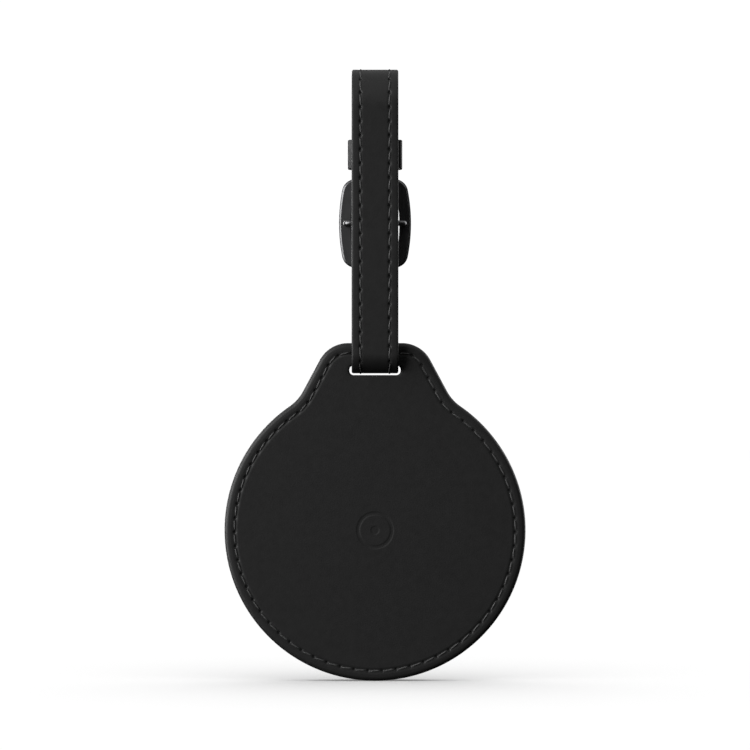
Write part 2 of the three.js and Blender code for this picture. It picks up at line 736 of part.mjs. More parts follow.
function strapLoop() {
  const group = new THREE.Group();
  add(group, "strap_outer", strapOuter(), leather);
  add(group, "strap_lining", strapLining(), lining);
  add(group, "tail_outer", tailOuter(), leather);
  add(group, "tail_lining", tailPly(LINING), lining);
  add(group, "wrap_outer", wrapOuter(), leather);
  add(group, "wrap_lining", ribbon(wrapLine(), ...LINING, STRAP_WIDTH), lining);
  add(group, "strap_flex_front", flexPiece(-1), leather);
  add(group, "strap_flex_rear", flexPiece(1), leather);
  for (const [side, x] of Object.entries(SEAM_SIDES)) {
    add(group, `strap_thread_${side}`, seamThread(loopLine(FLAP_START + 4.2), x), thread);
    add(group, `tail_thread_${side}`, seamThread(sewnTail(3.2), x), thread);
    add(group, `wrap_thread_${side}`, seamThread(wrapLine(), x), thread);
  }
  return group;
}

function buckle() {
  const group = new THREE.Group();
  add(group, "buckle_frame", buckleFrame(), blackMetal);
  add(group, "buckle_bar", buckleBar(), blackMetal);
  add(group, "buckle_prong", buckleProng(), blackMetal);
  add(group, "keeper_loop", keeperLoop(), leather);
  return group;
}

function leatherTag() {
  const group = new THREE.Group();
  add(group, "front_cover", frontCover(), leather);
  add(group, "rear_cover", rearCover(), leather);
  add(group, "core_frame", coreFrame(), leather);
  add(group, "front_thread", tagSeam(-1, THREAD_WIDTH, GROOVE_DEPTH - THREAD_LIFT, 0), thread);
  add(group, "rear_thread", tagSeam(1, THREAD_WIDTH, GROOVE_DEPTH - THREAD_LIFT, 0), thread);
  return group;
}

// Plain components on the back of the board: width, thickness and height, then x and z.
const COMPONENTS = [
  ["bluetooth_chip", [5, 0.55, 5], [CAN.x - 0.4, CAN.z - 0.4], chipBlack],
  ["crystal", [2, 0.5, 1.6], [10, 16.4], steel],
  ["chip_antenna", [5, 0.8, 1.8], [6.5, 20.5], ceramic],
  ["charging_chip", [3, 0.6, 3], [13, 0.5], chipBlack],
  ["power_inductor", [3, 0.9, 3], [17.5, 0.5], ferrite],
  ["motion_sensor", [2, 0.65, 2], [-5.5, 18.5], chipBlack],
  ["status_led", [1.6, 0.5, 0.8], [LIGHT.x, LIGHT.z], ceramic],
];

function boardAssembly() {
  const group = new THREE.Group();
  add(group, "circuit_board", circuitBoard(), boardGreen);
  for (const [name, size, place, material] of COMPONENTS) {
    add(group, name, onBoard(size, place), material);
  }
  add(group, "shield_can", shieldCan(), steel);
  add(group, "tact_switch", tactSwitch(), chipBlack);
  add(group, "switch_actuator", rod(0.6, 0.35, 0.9, 12), chipBlack);
  add(group, "light_pipe", rod(LIGHT.radius, LIGHT.foot, LIGHT.top, 10, LIGHT.x, LIGHT.z), clearPlastic);
  return group;
}

function powerAndSound() {
  const group = new THREE.Group();
  const padZ = BATTERY.top - BATTERY.height / 2;
  add(group, "battery_cell", batteryCell(), foil);
  add(group, "battery_pad", block(22, BATTERY.front - 0.3, BATTERY.front - 0.08, 10, 0, padZ), foam);
  add(group, "battery_lead_red", batteryLead(-2), redWire);
  add(group, "battery_lead_black", batteryLead(2), blackWire);
  add(group, "charging_coil", ring(COIL.inner, COIL.outer, COIL.front, COIL.back, 36), copper);
  add(group, "ferrite_sheet", rod(FERRITE.radius, FERRITE.front, FERRITE.back, 36), ferrite);
  const { plate: edge, rim, ceramic: disc, x, z } = BUZZER;
  add(group, "buzzer_ring", ring(edge - rim, edge, 0.35, 1.38, 20, x, z), casePlastic);
  add(group, "buzzer_plate", rod(edge, 0.08, 0.28, 20, x, z), brass);
  add(group, "buzzer_ceramic", rod(disc, -0.15, 0.02, 16, x, z), ceramic);
  return group;
}

function electronicsModule() {
  const group = new THREE.Group();
  add(group, "front_shell", frontShell(), casePlastic);
  add(group, "rear_shell", rearShell(), casePlastic);
  add(group, "shell_gasket", shellGasket(), gasketRubber);
  bossPlaces().forEach((place, i) => add(group, `shell_screw_${i + 1}`, shellScrew(place), steel));
  add(group, "button_cap", buttonCap(), casePlastic);
  add(group, "button_bezel", buttonBezel(), blackMetal);
  group.add(boardAssembly(), powerAndSound());
  return group;
}

const tag = new THREE.Group();
tag.add(leatherTag(), electronicsModule());
tag.position.z = DISC_Z;

const group = new THREE.Group();
group.add(strapLoop(), buckle(), tag);

export default group;
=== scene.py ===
"""Looks of a bluetooth tracker tag: stitched leather tag and strap, satin black buckle, pale floor.

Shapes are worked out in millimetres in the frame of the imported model, and made in metres.
X is across the tag, Y runs from the front (-) to the back (+), Z is up.
"""

import json
import math

import bmesh
import bpy
import numpy as np
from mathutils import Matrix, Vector
from mathutils.geometry import delaunay_2d_cdt

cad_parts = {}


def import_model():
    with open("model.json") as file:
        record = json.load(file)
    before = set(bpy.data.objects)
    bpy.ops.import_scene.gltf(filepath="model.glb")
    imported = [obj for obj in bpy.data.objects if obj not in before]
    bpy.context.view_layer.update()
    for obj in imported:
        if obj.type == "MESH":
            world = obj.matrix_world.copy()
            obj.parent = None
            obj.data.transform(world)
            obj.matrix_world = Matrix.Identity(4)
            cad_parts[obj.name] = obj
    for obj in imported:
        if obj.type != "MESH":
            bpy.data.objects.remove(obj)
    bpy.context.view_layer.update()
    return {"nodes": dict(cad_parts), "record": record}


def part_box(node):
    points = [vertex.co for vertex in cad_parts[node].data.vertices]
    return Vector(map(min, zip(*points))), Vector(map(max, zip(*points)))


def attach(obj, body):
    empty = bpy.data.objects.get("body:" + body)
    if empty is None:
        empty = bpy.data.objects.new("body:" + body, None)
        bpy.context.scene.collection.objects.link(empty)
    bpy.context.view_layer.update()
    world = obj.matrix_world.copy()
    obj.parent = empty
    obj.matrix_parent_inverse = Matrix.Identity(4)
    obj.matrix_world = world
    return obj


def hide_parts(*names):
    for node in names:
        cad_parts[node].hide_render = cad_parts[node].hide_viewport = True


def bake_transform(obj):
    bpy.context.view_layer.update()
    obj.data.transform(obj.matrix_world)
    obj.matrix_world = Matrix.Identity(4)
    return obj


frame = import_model()

MM = 0.001


def box_mm(node):
    """Lowest and highest corners of a node of the frame, in millimetres."""
    low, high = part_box(node)
    return np.array(low) / MM, np.array(high) / MM


def middle_xz(node):
    """Middle of a node's box in X and Z."""
    low, high = box_mm(node)
    return (low[0] + high[0]) / 2, (low[2] + high[2]) / 2


# ---------------- sizes, in millimetres

COVER_LOW, COVER_HIGH = box_mm("front_cover")
DISC_RADIUS = (COVER_HIGH[0] - COVER_LOW[0]) / 2
DISC_Z = COVER_LOW[2] + DISC_RADIUS
TAB_TOP = COVER_HIGH[2] - DISC_Z
FACE_Y = -COVER_LOW[1]
COVER_THICK = COVER_HIGH[1] - COVER_LOW[1]
FLOOR_Z = COVER_LOW[2]

# The tab of the tag, with heights counted from the middle of the disc.
TAB_CORNER_RADIUS = 6.93
TAB_CORNER_X = 5.83
TAB_SLOPE = 28.2
NECK_RADIUS = 9.6
SLOT_WIDTH = 11.1
SLOT_HEIGHT = 2.1
SLOT_CORNER = 0.95
SLOT_MIDDLE = TAB_TOP - 4.8 - SLOT_HEIGHT / 2
SLOT_LIP = 0.4

EDGE_RADIUS = 0.95
HOLE_RADIUS = 0.23
HOLE_DEPTH = 0.3
SHADE_RADIUS = 0.33  # painted shade: the leather round each needle hole is painted near-black this far out
SEAM_INSET = 2.2
CHANNEL_INSET = SEAM_INSET + 0.22  # the sewn channel is deepest just inside the thread
CHANNEL_DEPTH = 0.085
CHANNEL_HALF_WIDTH = 0.28
BEAD_INSET = 1.4  # a faint swelling between the edge and the seam
BEAD_HEIGHT = 0.03
STITCH_PITCH = 3.045
SEAM_START = -1.16  # along the seam, from the top middle of the tab to the first needle hole
SEAM_SPARE = 0.75  # left over where the seam's two ends meet behind the strap
MARK_RADIUS = 4.0
MARK_LINE = 0.7
MARK_DOT = 0.9
MARK_DEPTH = 0.05
MARK_WALL = 0.25
BAND_INSET = 3.1  # the modelled band round the edge ends here, and the flat face begins

STRAP_LOW, STRAP_HIGH = box_mm("strap_outer")
STRAP_WIDTH = STRAP_HIGH[0] - STRAP_LOW[0] + 0.08  # the edge paint stands out a little
STRAP_THICK = STRAP_HIGH[2]
PLY = 0.8
RUN_Y = -STRAP_LOW[1] - STRAP_THICK / 2
ARCH_RISE = 6.3
LOOP_SLACK = 0.16  # gap left between the strap and the bridge of the slot
LOOP_DROP = LOOP_SLACK - box_mm("wrap_outer")[0][2] - STRAP_THICK
WRAP_RADIUS = 2.5
STRAP_SEAM_X = 3.13
FLEX_TOP = box_mm("tail_outer")[0][2]
TAIL_TIP = box_mm("tail_outer")[1][2]

BAR_LOW, BAR_HIGH = box_mm("buckle_bar")
BAR_RADIUS = (BAR_HIGH[2] - BAR_LOW[2]) / 2
BAR_Y = BAR_LOW[1] + BAR_RADIUS
BAR_Z = (BAR_HIGH[2] + BAR_LOW[2]) / 2
FRAME_LOW, FRAME_HIGH = box_mm("buckle_frame")
# Width, height, radius of the bowed sides and corner radius.
FRAME_OUTER = (15.75, FRAME_HIGH[2] - FRAME_LOW[2] + 0.15, 38, 3.0)
FRAME_WINDOW = (10.37, 15.0, 34, 1.2)
WINDOW_SHIFT = (0.12, -0.4)
FRAME_LIFT = 0.08

KEEPER_LOW, KEEPER_HIGH = box_mm("keeper_loop")
KEEPER_WALL = 0.74
KEEPER_GROW = 0.2  # the padded band is this much wider and taller than the plain CAD band


# ---------------- curves and meshes


def arc(x, y, radius, start, end, steps):
    """Points along an arc between two angles in degrees, both ends included."""
    angles = np.radians(np.linspace(start, end, steps + 1))
    return np.column_stack([x + radius * np.cos(angles), y + radius * np.sin(angles)])


def upright(outline, y, z):
    """A flat outline of (x, height) points set up in space at depth y, its heights counted from z."""
    return np.column_stack([outline[:, 0], np.full(len(outline), y), outline[:, 1] + z])


def straight(start, end, steps):
    """Points from start up to, but not including, end."""
    return np.linspace(start, end, steps, endpoint=False)


def bezier(points, steps):
    """Points along a cubic curve with four control points."""
    t = np.linspace(0, 1, steps + 1)[:, None]
    a, b, c, d = (np.array(p, float) for p in points)
    return (1 - t) ** 3 * a + 3 * (1 - t) ** 2 * t * b + 3 * (1 - t) * t**2 * c + t**3 * d


def lengths(line, closed=False):
    """Distance travelled at each point of a line, and the whole length."""
    ends = np.roll(line, -1, axis=0) if closed else line[1:]
    starts = line if closed else line[:-1]
    steps = np.linalg.norm(ends - starts, axis=1)
    travelled = np.concatenate([[0], np.cumsum(steps)])
    return (travelled[:-1], travelled[-1]) if closed else (travelled, travelled[-1])


def resample(line, spacing):
    """The same line with evenly spaced points."""
    travelled, total = lengths(line)
    at = np.linspace(0, total, max(int(round(total / spacing)), 2) + 1)
    return np.column_stack([np.interp(at, travelled, line[:, k]) for k in range(line.shape[1])])


def tangents(line, closed=False):
    """Unit directions along a line, averaged over the neighbours."""
    if closed:
        along = np.roll(line, -1, axis=0) - np.roll(line, 1, axis=0)
    else:
        along = np.gradient(line, axis=0)
    return along / np.linalg.norm(along, axis=1)[:, None]


def make(name, vertices, faces, materials, face_materials=None, smooth=True):
    """A mesh object from points in millimetres."""
    mesh = bpy.data.meshes.new(name)
    mesh.from_pydata((np.asarray(vertices, float) * MM).tolist(), [], faces)
    for material in materials:
        mesh.materials.append(material)
    if face_materials is not None:
        mesh.polygons.foreach_set("material_index", np.asarray(face_materials, np.int32))
    mesh.validate()
    mesh.update()
    mesh.polygons.foreach_set("use_smooth", [smooth] * len(mesh.polygons))
    piece = bpy.data.objects.new(name, mesh)
    bpy.context.scene.collection.objects.link(piece)
    return piece


def grid_faces(rows, columns, wrap_rows=False, wrap_columns=True, first=0):
    """Quads over a grid of points stored row by row."""
    faces = []
    for r in range(rows if wrap_rows else rows - 1):
        below = first + r * columns
        above = first + ((r + 1) % rows) * columns
        for c in range(columns if wrap_columns else columns - 1):
            d = (c + 1) % columns
            faces.append((below + c, below + d, above + d, above + c))
    return faces


def end_caps(rows, columns):
    """The two faces that close the ends of a grid of points stored row by row."""
    return [tuple(reversed(range(columns))), tuple(range((rows - 1) * columns, rows * columns))]


def sweep(line, side, normal, section, closed=False):
    """Vertices and faces of a section of (side, normal) points carried along a line in space."""
    section = np.asarray(section, float)
    if section.ndim == 2:
        section = np.broadcast_to(section, (len(line), *section.shape))
    points = (
        line[:, None, :]
        + section[:, :, 0, None] * side[:, None, :]
        + section[:, :, 1, None] * normal[:, None, :]
    )
    rows, columns = points.shape[:2]
    faces = grid_faces(rows, columns, wrap_rows=closed)
    if not closed:
        faces += end_caps(rows, columns)
    return points.reshape(-1, 3), faces


def joined(parts):
    """Several (vertices, faces) pairs as one."""
    vertices, faces, first = [], [], 0
    for points, polygons in parts:
        vertices.append(points)
        faces.extend(tuple(i + first for i in polygon) for polygon in polygons)
        first += len(points)
    return np.vstack(vertices), faces


def outward(piece):
    """Turns the faces of a closed mesh so that they point out."""
    mesh = bmesh.new()
    mesh.from_mesh(piece.data)
    bmesh.ops.recalc_face_normals(mesh, faces=mesh.faces)
    mesh.to_mesh(piece.data)
    mesh.free()
    return piece


def rounded_section(width, height, radius, steps=4):
    """A closed section with round corners, centred on the origin."""
    x, y = width / 2 - radius, height / 2 - radius
    corners = [(x, y, 0), (-x, y, 90), (-x, -y, 180), (x, -y, 270)]
    return np.vstack([arc(cx, cy, radius, start, start + 90, steps) for cx, cy, start in corners])


def across_x(line_yz):
    """Line, side and outward directions in space for a line in Y and Z that is swept across X."""
    along = tangents(line_yz)
    line = np.column_stack([np.zeros(len(line_yz)), line_yz])
    side = np.tile([1.0, 0.0, 0.0], (len(line), 1))
    normal = np.column_stack([np.zeros(len(line)), along[:, 1], -along[:, 0]])
    return line, side, normal


# ---------------- materials


class Nodes:
    """A material under construction, with short names for what its nodes do."""

    def __init__(self, name, **settings):
        self.material = bpy.data.materials.new(name)
        self.material.use_nodes = True
        self.tree = self.material.node_tree
        self.shader = self.tree.nodes["Principled BSDF"]
        for socket, value in settings.items():
            self.shader.inputs[socket.replace("_", " ")].default_value = value
        coordinates = self.tree.nodes.new("ShaderNodeTexCoord")
        self.place = coordinates.outputs["Object"]

    def add(self, kind, inputs=None, **settings):
        node = self.tree.nodes.new(kind)
        for key, value in settings.items():
            setattr(node, key, value)
        for key, value in (inputs or {}).items():
            if isinstance(value, bpy.types.NodeSocket):
                self.tree.links.new(value, node.inputs[key])
            else:
                node.inputs[key].default_value = value
        return node

    def noise(self, size_mm, detail=3.0, roughness=0.5, stretch=None):
        """Noise whose features are about size_mm across."""
        place = self.place
        if stretch:
            place = self.add("ShaderNodeMapping", {"Vector": place, "Scale": stretch}).outputs[0]
        scale = 1 / (size_mm * MM)
        inputs = {"Vector": place, "Scale": scale, "Detail": detail, "Roughness": roughness}
        return self.add("ShaderNodeTexNoise", inputs).outputs["Fac"]

    def cells(self, size_mm, feature="SMOOTH_F1"):
        inputs = {"Vector": self.place, "Scale": 1 / (size_mm * MM)}
        return self.add("ShaderNodeTexVoronoi", inputs, feature=feature).outputs["Distance"]

    def spread(self, value, low, high, start=0.3, end=0.7):
        """Maps a pattern to the range from low to high."""
        inputs = {"Value": value, "From Min": start, "From Max": end, "To Min": low, "To Max": high}
        return self.add("ShaderNodeMapRange", inputs).outputs[0]

    def mixed(self, factor, first, second):
        """A colour between two others. A grey may be a single number."""
        node = self.add("ShaderNodeMix", {"Factor": factor}, data_type="RGBA")
        for socket, value in zip((node.inputs[6], node.inputs[7]), (first, second)):
            socket.default_value = (*np.broadcast_to(value, 3).tolist(), 1)
        return node.outputs[2]

    def bump(self, height, depth_mm, strength=1.0, below=None):
        inputs = {"Height": height, "Distance": depth_mm * MM, "Strength": strength}
        if below is not None:
            inputs["Normal"] = below
        return self.add("ShaderNodeBump", inputs).outputs[0]

    def finish(self, **links):
        for socket, value in links.items():
            self.tree.links.new(value, self.shader.inputs[socket.replace("_", " ")])
        return self.material


def leather(name, dark, light, roughness, grain_depth):
    """Dyed leather: fine pebbled grain, faint mottling and uneven polish."""
    n = Nodes(name, Specular_IOR_Level=0.3)
    pebbles = n.cells(0.3)
    pores = n.noise(0.12, detail=4)
    grain = n.bump(pores, grain_depth * 0.2, 0.4, n.bump(pebbles, grain_depth, 0.5))
    mottling = n.spread(n.noise(4, detail=5, roughness=0.65), 0, 1)
    polish = n.spread(n.noise(1.5), roughness - 0.03, roughness + 0.04)
    return n.finish(Base_Color=n.mixed(mottling, dark, light), Roughness=polish, Normal=grain)


def edge_paint(name):
    """The smooth painted edge of the leather."""
    n = Nodes(name, Specular_IOR_Level=0.3)
    ripple = n.noise(0.9, detail=2)
    tone = n.mixed(n.spread(ripple, 0, 1), 0.007, 0.010)
    polish = n.spread(n.noise(0.5), 0.5, 0.6)
    return n.finish(Base_Color=tone, Roughness=polish, Normal=n.bump(ripple, 0.03, 0.5))


def thread(name):
    """Waxed twisted thread."""
    n = Nodes(name, Specular_IOR_Level=0.4)
    fibres = n.noise(0.06, detail=2)
    tone = n.mixed(n.spread(fibres, 0, 1), 0.03, 0.055)
    polish = n.spread(fibres, 0.5, 0.7)
    return n.finish(Base_Color=tone, Roughness=polish, Normal=n.bump(fibres, 0.02, 0.6))


def metal(name, dark, light, roughness, brushed=False):
    """Plated or brushed metal with slight wear in its polish."""
    n = Nodes(name, Metallic=1.0)
    stretch = (1, 1, 0.06) if brushed else None
    streaks = n.noise(0.12, detail=3, stretch=stretch)
    tone = n.mixed(n.spread(n.noise(3), 0, 1), dark, light)
    polish = n.spread(streaks, roughness - 0.02, roughness + 0.03)
    return n.finish(Base_Color=tone, Roughness=polish, Normal=n.bump(streaks, 0.001, 0.4))


def moulded(name, dark, light, roughness, texture_mm=0.15, depth_mm=0.01, **settings):
    """Plastic, rubber, ceramic or resin with a fine moulded surface."""
    n = Nodes(name, **settings)
    texture = n.noise(texture_mm, detail=3)
    tone = n.mixed(n.spread(n.noise(4), 0, 1), dark, light)
    polish = n.spread(texture, roughness - 0.05, roughness + 0.05)
    return n.finish(Base_Color=tone, Roughness=polish, Normal=n.bump(texture, depth_mm, 0.5))


def circuit_board():
    """Green solder mask with fine copper tracks under it."""
    n = Nodes("circuit_board_mask", Roughness=0.35)
    tracks = n.add("ShaderNodeTexBrick", {"Vector": n.place, "Scale": 900.0, "Mortar Size": 0.06})
    tone = n.mixed(tracks.outputs["Fac"], (0.004, 0.045, 0.020), (0.012, 0.11, 0.045))
    return n.finish(Base_Color=tone, Normal=n.bump(tracks.outputs["Fac"], 0.02, 0.4))


def coiled_copper():
    """Flat windings of enamelled wire, as rings round the middle of the disc."""
    n = Nodes("coiled_copper", Metallic=1.0)
    middle = (0, 0, -DISC_Z * MM)
    place = n.add("ShaderNodeMapping", {"Vector": n.place, "Location": middle}).outputs[0]
    inputs = {"Vector": place, "Scale": 220.0}
    wave = n.add("ShaderNodeTexWave", inputs, wave_type="RINGS", rings_direction="Y")
    rings = wave.outputs["Fac"]
    tone = n.mixed(rings, (0.20, 0.06, 0.02), (0.65, 0.25, 0.10))
    polish = n.spread(rings, 0.45, 0.25)
    return n.finish(Base_Color=tone, Roughness=polish, Normal=n.bump(rings, 0.1, 0.6))


BLACK_LEATHER = leather("black_leather", 0.0112, 0.0126, 0.5, 0.02)
LINING_LEATHER = leather("lining_leather", 0.0095, 0.012, 0.62, 0.02)
# Near-black and rough: painted shade in and round the needle holes, standing in for the shadow in these
# recesses.
PAINTED_HOLE_SHADE = moulded("needle_hole", 0.0008, 0.0012, 0.9)
EDGE_PAINT = edge_paint("edge_paint")
THREAD = thread("waxed_thread")
BLACK_METAL = metal("satin_black_metal", (0.125, 0.125, 0.128), (0.145, 0.145, 0.148), 0.4)
STEEL = metal("nickelled_steel", (0.50, 0.51, 0.53), (0.62, 0.62, 0.63), 0.28, brushed=True)

SLOT_MATERIALS = {
    "leather": BLACK_LEATHER,
    "lining_leather": LINING_LEATHER,
    "thread": THREAD,
    "black_metal": BLACK_METAL,
    "steel": STEEL,
    "case_plastic": moulded("case_plastic", (0.010, 0.010, 0.011), (0.016, 0.016, 0.017), 0.45),
    "gasket_rubber": moulded("gasket_rubber", 0.012, 0.02, 0.8),
    "board": circuit_board(),
    "chip": moulded("chip_resin", (0.008, 0.008, 0.009), (0.014, 0.014, 0.015), 0.4, 0.08),
    "ceramic": moulded("ceramic", (0.62, 0.57, 0.48), (0.76, 0.72, 0.64), 0.5, 0.1),
    "copper": coiled_copper(),
    "brass": metal("rolled_brass", (0.55, 0.38, 0.12), (0.70, 0.52, 0.20), 0.3, brushed=True),
    "ferrite": moulded("ferrite", (0.02, 0.02, 0.022), (0.035, 0.035, 0.038), 0.7),
    "battery_foil": metal("pouch_foil", (0.42, 0.43, 0.45), (0.55, 0.56, 0.58), 0.35),
    "foam": moulded("foam_tape", 0.02, 0.045, 0.9, 0.3, 0.1),
    "red_wire": moulded("red_wire", (0.35, 0.012, 0.01), (0.48, 0.02, 0.015), 0.4),
    "black_wire": moulded("black_wire", 0.008, 0.014, 0.4),
    "clear_plastic": moulded(
        "light_guide", (0.80, 0.84, 0.86), (0.90, 0.92, 0.94), 0.15, Transmission_Weight=0.6
    ),
}


def paint_frame():
    """Gives every node of the frame the material of its slot."""
    for part in frame["record"]["subparts"]:
        mesh = frame["nodes"][part["node"]].data
        mesh.materials.clear()
        mesh.materials.append(SLOT_MATERIALS[part["material_slot"]])


# ---------------- outlines of the tag


def mirrored(right_half):
    """Closes a right half that starts and ends on x = 0."""
    left_half = right_half[1:-1][::-1] * [-1, 1]
    return np.vstack([right_half, left_half])


def neck_centre():
    """Middle and bearing of the concave arc that joins the sloping side of the tab to the disc."""
    slope = math.radians(TAB_SLOPE)
    across = np.array([math.cos(slope), math.sin(slope)])
    down = np.array([math.sin(slope), -math.cos(slope)])
    corner = np.array([TAB_CORNER_X, TAB_TOP - TAB_CORNER_RADIUS])
    reach = across @ corner + TAB_CORNER_RADIUS + NECK_RADIUS
    along = -math.sqrt((DISC_RADIUS + NECK_RADIUS) ** 2 - reach**2)
    middle = reach * across + along * down
    return middle, math.degrees(math.atan2(middle[1], middle[0]))


NECK, NECK_BEARING = neck_centre()


def tag_outline(inset=0.0):
    """The tag's outline as (x, height above the disc's middle), moved in by inset."""
    corner_z = TAB_TOP - TAB_CORNER_RADIUS
    corner = arc(TAB_CORNER_X, corner_z, TAB_CORNER_RADIUS - inset, 90, TAB_SLOPE, 42)
    neck = arc(*NECK, NECK_RADIUS + inset, 180 + TAB_SLOPE, 180 + NECK_BEARING, 30)
    disc = arc(0, 0, DISC_RADIUS - inset, NECK_BEARING, -90, 470)
    top = straight((0, TAB_TOP - inset), corner[0], 32)
    slope = straight(corner[-1], neck[0], 45)
    return mirrored(np.vstack([top, corner[:-1], slope, neck, disc[1:]]))


def slot_outline(grow=0.0):
    """The slot's outline, moved out by grow."""
    radius = SLOT_CORNER + grow
    x, z = SLOT_WIDTH / 2 + grow - radius, SLOT_HEIGHT / 2 + grow - radius
    corners = [(x, z, 0), (-x, z, 90), (-x, -z, 180), (x, -z, 270)]
    loop = [arc(cx, SLOT_MIDDLE + cz, radius, a, a + 90, 10) for cx, cz, a in corners]
    loop.insert(1, straight(loop[0][-1], loop[1][0], 40)[1:])
    loop.insert(4, straight(loop[3][-1], loop[4][0], 40)[1:])
    return np.vstack(loop)


def round_hole(x, z, radius, steps):
    """An outline function for a round hole."""
    return lambda grow=0.0: arc(x, z, radius + grow, 0, 360, steps)[:-1]


def inside(points, loop):
    """Which points lie inside a closed outline."""
    x, z = points[:, 0, None], points[:, 1, None]
    ax, az = loop[:, 0], loop[:, 1]
    bx, bz = np.roll(ax, -1), np.roll(az, -1)
    spans = (az > z) != (bz > z)
    with np.errstate(divide="ignore", invalid="ignore"):
        crossing = ax + (z - az) * (bx - ax) / (bz - az)
    return (np.count_nonzero(spans & (x < crossing), axis=1) % 2).astype(bool)


def filled(outer, holes, extra=None):
    """Triangles between an outline and the holes in it. Returns all points and the triangles."""
    loops = [outer, *holes]
    points = np.vstack(loops)
    edges, first = [], 0
    for loop in loops:
        count = len(loop)
        edges.extend((first + i, first + (i + 1) % count) for i in range(count))
        first += count
    if extra is not None and len(extra):
        points = np.vstack([points, extra])
    coords, _, triangles, _, _, _ = delaunay_2d_cdt(
        [Vector(p) for p in points.tolist()], edges, [], 0, 1e-6
    )
    coords = np.array(coords)
    triangles = np.array([t for t in triangles], int)
    middles = coords[triangles].mean(axis=1)
    keep = inside(middles, outer)
    for hole in holes:
        keep &= ~inside(middles, hole)
    return coords, triangles[keep]


# ---------------- leather covers of the tag

SEAM_LINE = tag_outline(SEAM_INSET)
SEAM_TRAVEL, SEAM_LENGTH = lengths(SEAM_LINE, closed=True)
TAG_STITCHES = round(SEAM_LENGTH / STITCH_PITCH)
TAG_PITCH = (SEAM_LENGTH - SEAM_SPARE) / TAG_STITCHES


def bell(distance, width):
    """A smooth bump, 1 at its middle and about a third at its width."""
    return np.exp(-((distance / width) ** 2))


def edge_depth(inset):
    """How far the leather's surface lies below the face, at a distance in from the edge."""
    turn = np.clip(EDGE_RADIUS - inset, 0, EDGE_RADIUS)
    rounding = EDGE_RADIUS - np.sqrt(EDGE_RADIUS**2 - turn**2)
    channel = CHANNEL_DEPTH * bell(inset - CHANNEL_INSET, CHANNEL_HALF_WIDTH)
    bead = BEAD_HEIGHT * bell(inset - BEAD_INSET, 0.3)
    return rounding + channel - bead


def from_needle_hole(travel, pitch, offset):
    """Distance to the nearest needle hole of a row, from the way along it and the way off it."""
    phase = np.mod(travel + pitch / 2, pitch) - pitch / 2
    return np.hypot(phase, offset)


def needle_hole(distance):
    """Depth of the hole where the thread goes into the leather."""
    return HOLE_DEPTH * bell(distance, HOLE_RADIUS)


def pressed_mark(points):
    """Depth of the ring and dot that are pressed into the front over the charging coil."""
    out = np.linalg.norm(points, axis=1)
    ring = np.abs(out - MARK_RADIUS + MARK_LINE / 2) - MARK_LINE / 2
    away = np.minimum(ring, out - MARK_DOT)
    t = np.clip(0.5 - away / MARK_WALL, 0, 1)
    return MARK_DEPTH * t * t * (3 - 2 * t)


def lattice(spacing, half_width, half_height):
    """Evenly spaced points in staggered rows."""
    rows = np.arange(-half_height, half_height, spacing * 0.866)
    columns = np.arange(-half_width, half_width, spacing)
    return np.array([(x + (i % 2) * spacing / 2, z) for i, z in enumerate(rows) for x in columns])


def face_points(holes, fine):
    """Points inside the flat face of a cover, clear of its holes, closer together over the mark."""
    band = tag_outline(BAND_INSET + 0.45)
    points = lattice(1.1, DISC_RADIUS, TAB_TOP)
    points = points[inside(points, band)]
    if fine:
        size = MARK_RADIUS + 0.6
        points = points[(np.abs(points) > size).any(axis=1)]
        points = np.vstack([points, lattice(0.14, size - 0.3, size - 0.3)])
    for hole, radius in holes:
        points = points[~inside(points, hole(radius + 0.3))]
    return points


def edge_band():
    """The ring of a cover from its foot over the seam, with its faces and the look of each."""
    rounding = EDGE_RADIUS * (1 - np.cos(np.linspace(0, math.pi / 2, 9)))
    insets = np.concatenate([rounding, np.arange(1.1, 1.6, 0.15), np.arange(1.6, BAND_INSET + 0.01, 0.1)])
    insets[-1] = BAND_INSET
    count = len(SEAM_LINE)
    rings = [np.column_stack([tag_outline(0), np.full(count, COVER_THICK)])]
    looks = [np.ones(2 * count, int)]
    for number, inset in enumerate(insets):
        away = from_needle_hole(SEAM_TRAVEL - SEAM_START, TAG_PITCH, inset - SEAM_INSET)
        rings.append(np.column_stack([tag_outline(inset), edge_depth(inset) + needle_hole(away)]))
        if number > 1:
            # Faces close to a needle hole get the painted shade.
            looks.append(np.where(away < SHADE_RADIUS, 2, 0))
    faces = grid_faces(len(rings), count)
    return np.vstack(rings), faces, np.concatenate(looks)[: len(faces)].tolist()


def soft_lip(hole, radius):
    """Rows of points over the rounded edge of an opening, from the foot of the cover to its face."""
    rows = [np.column_stack([hole(0), np.full(len(hole(0)), COVER_THICK)])]
    for turn in np.linspace(0, math.pi / 2, 6):
        loop = hole(radius * (1 - math.cos(turn)))
        rows.append(np.column_stack([loop, np.full(len(loop), radius * (1 - math.sin(turn)))]))
    return rows


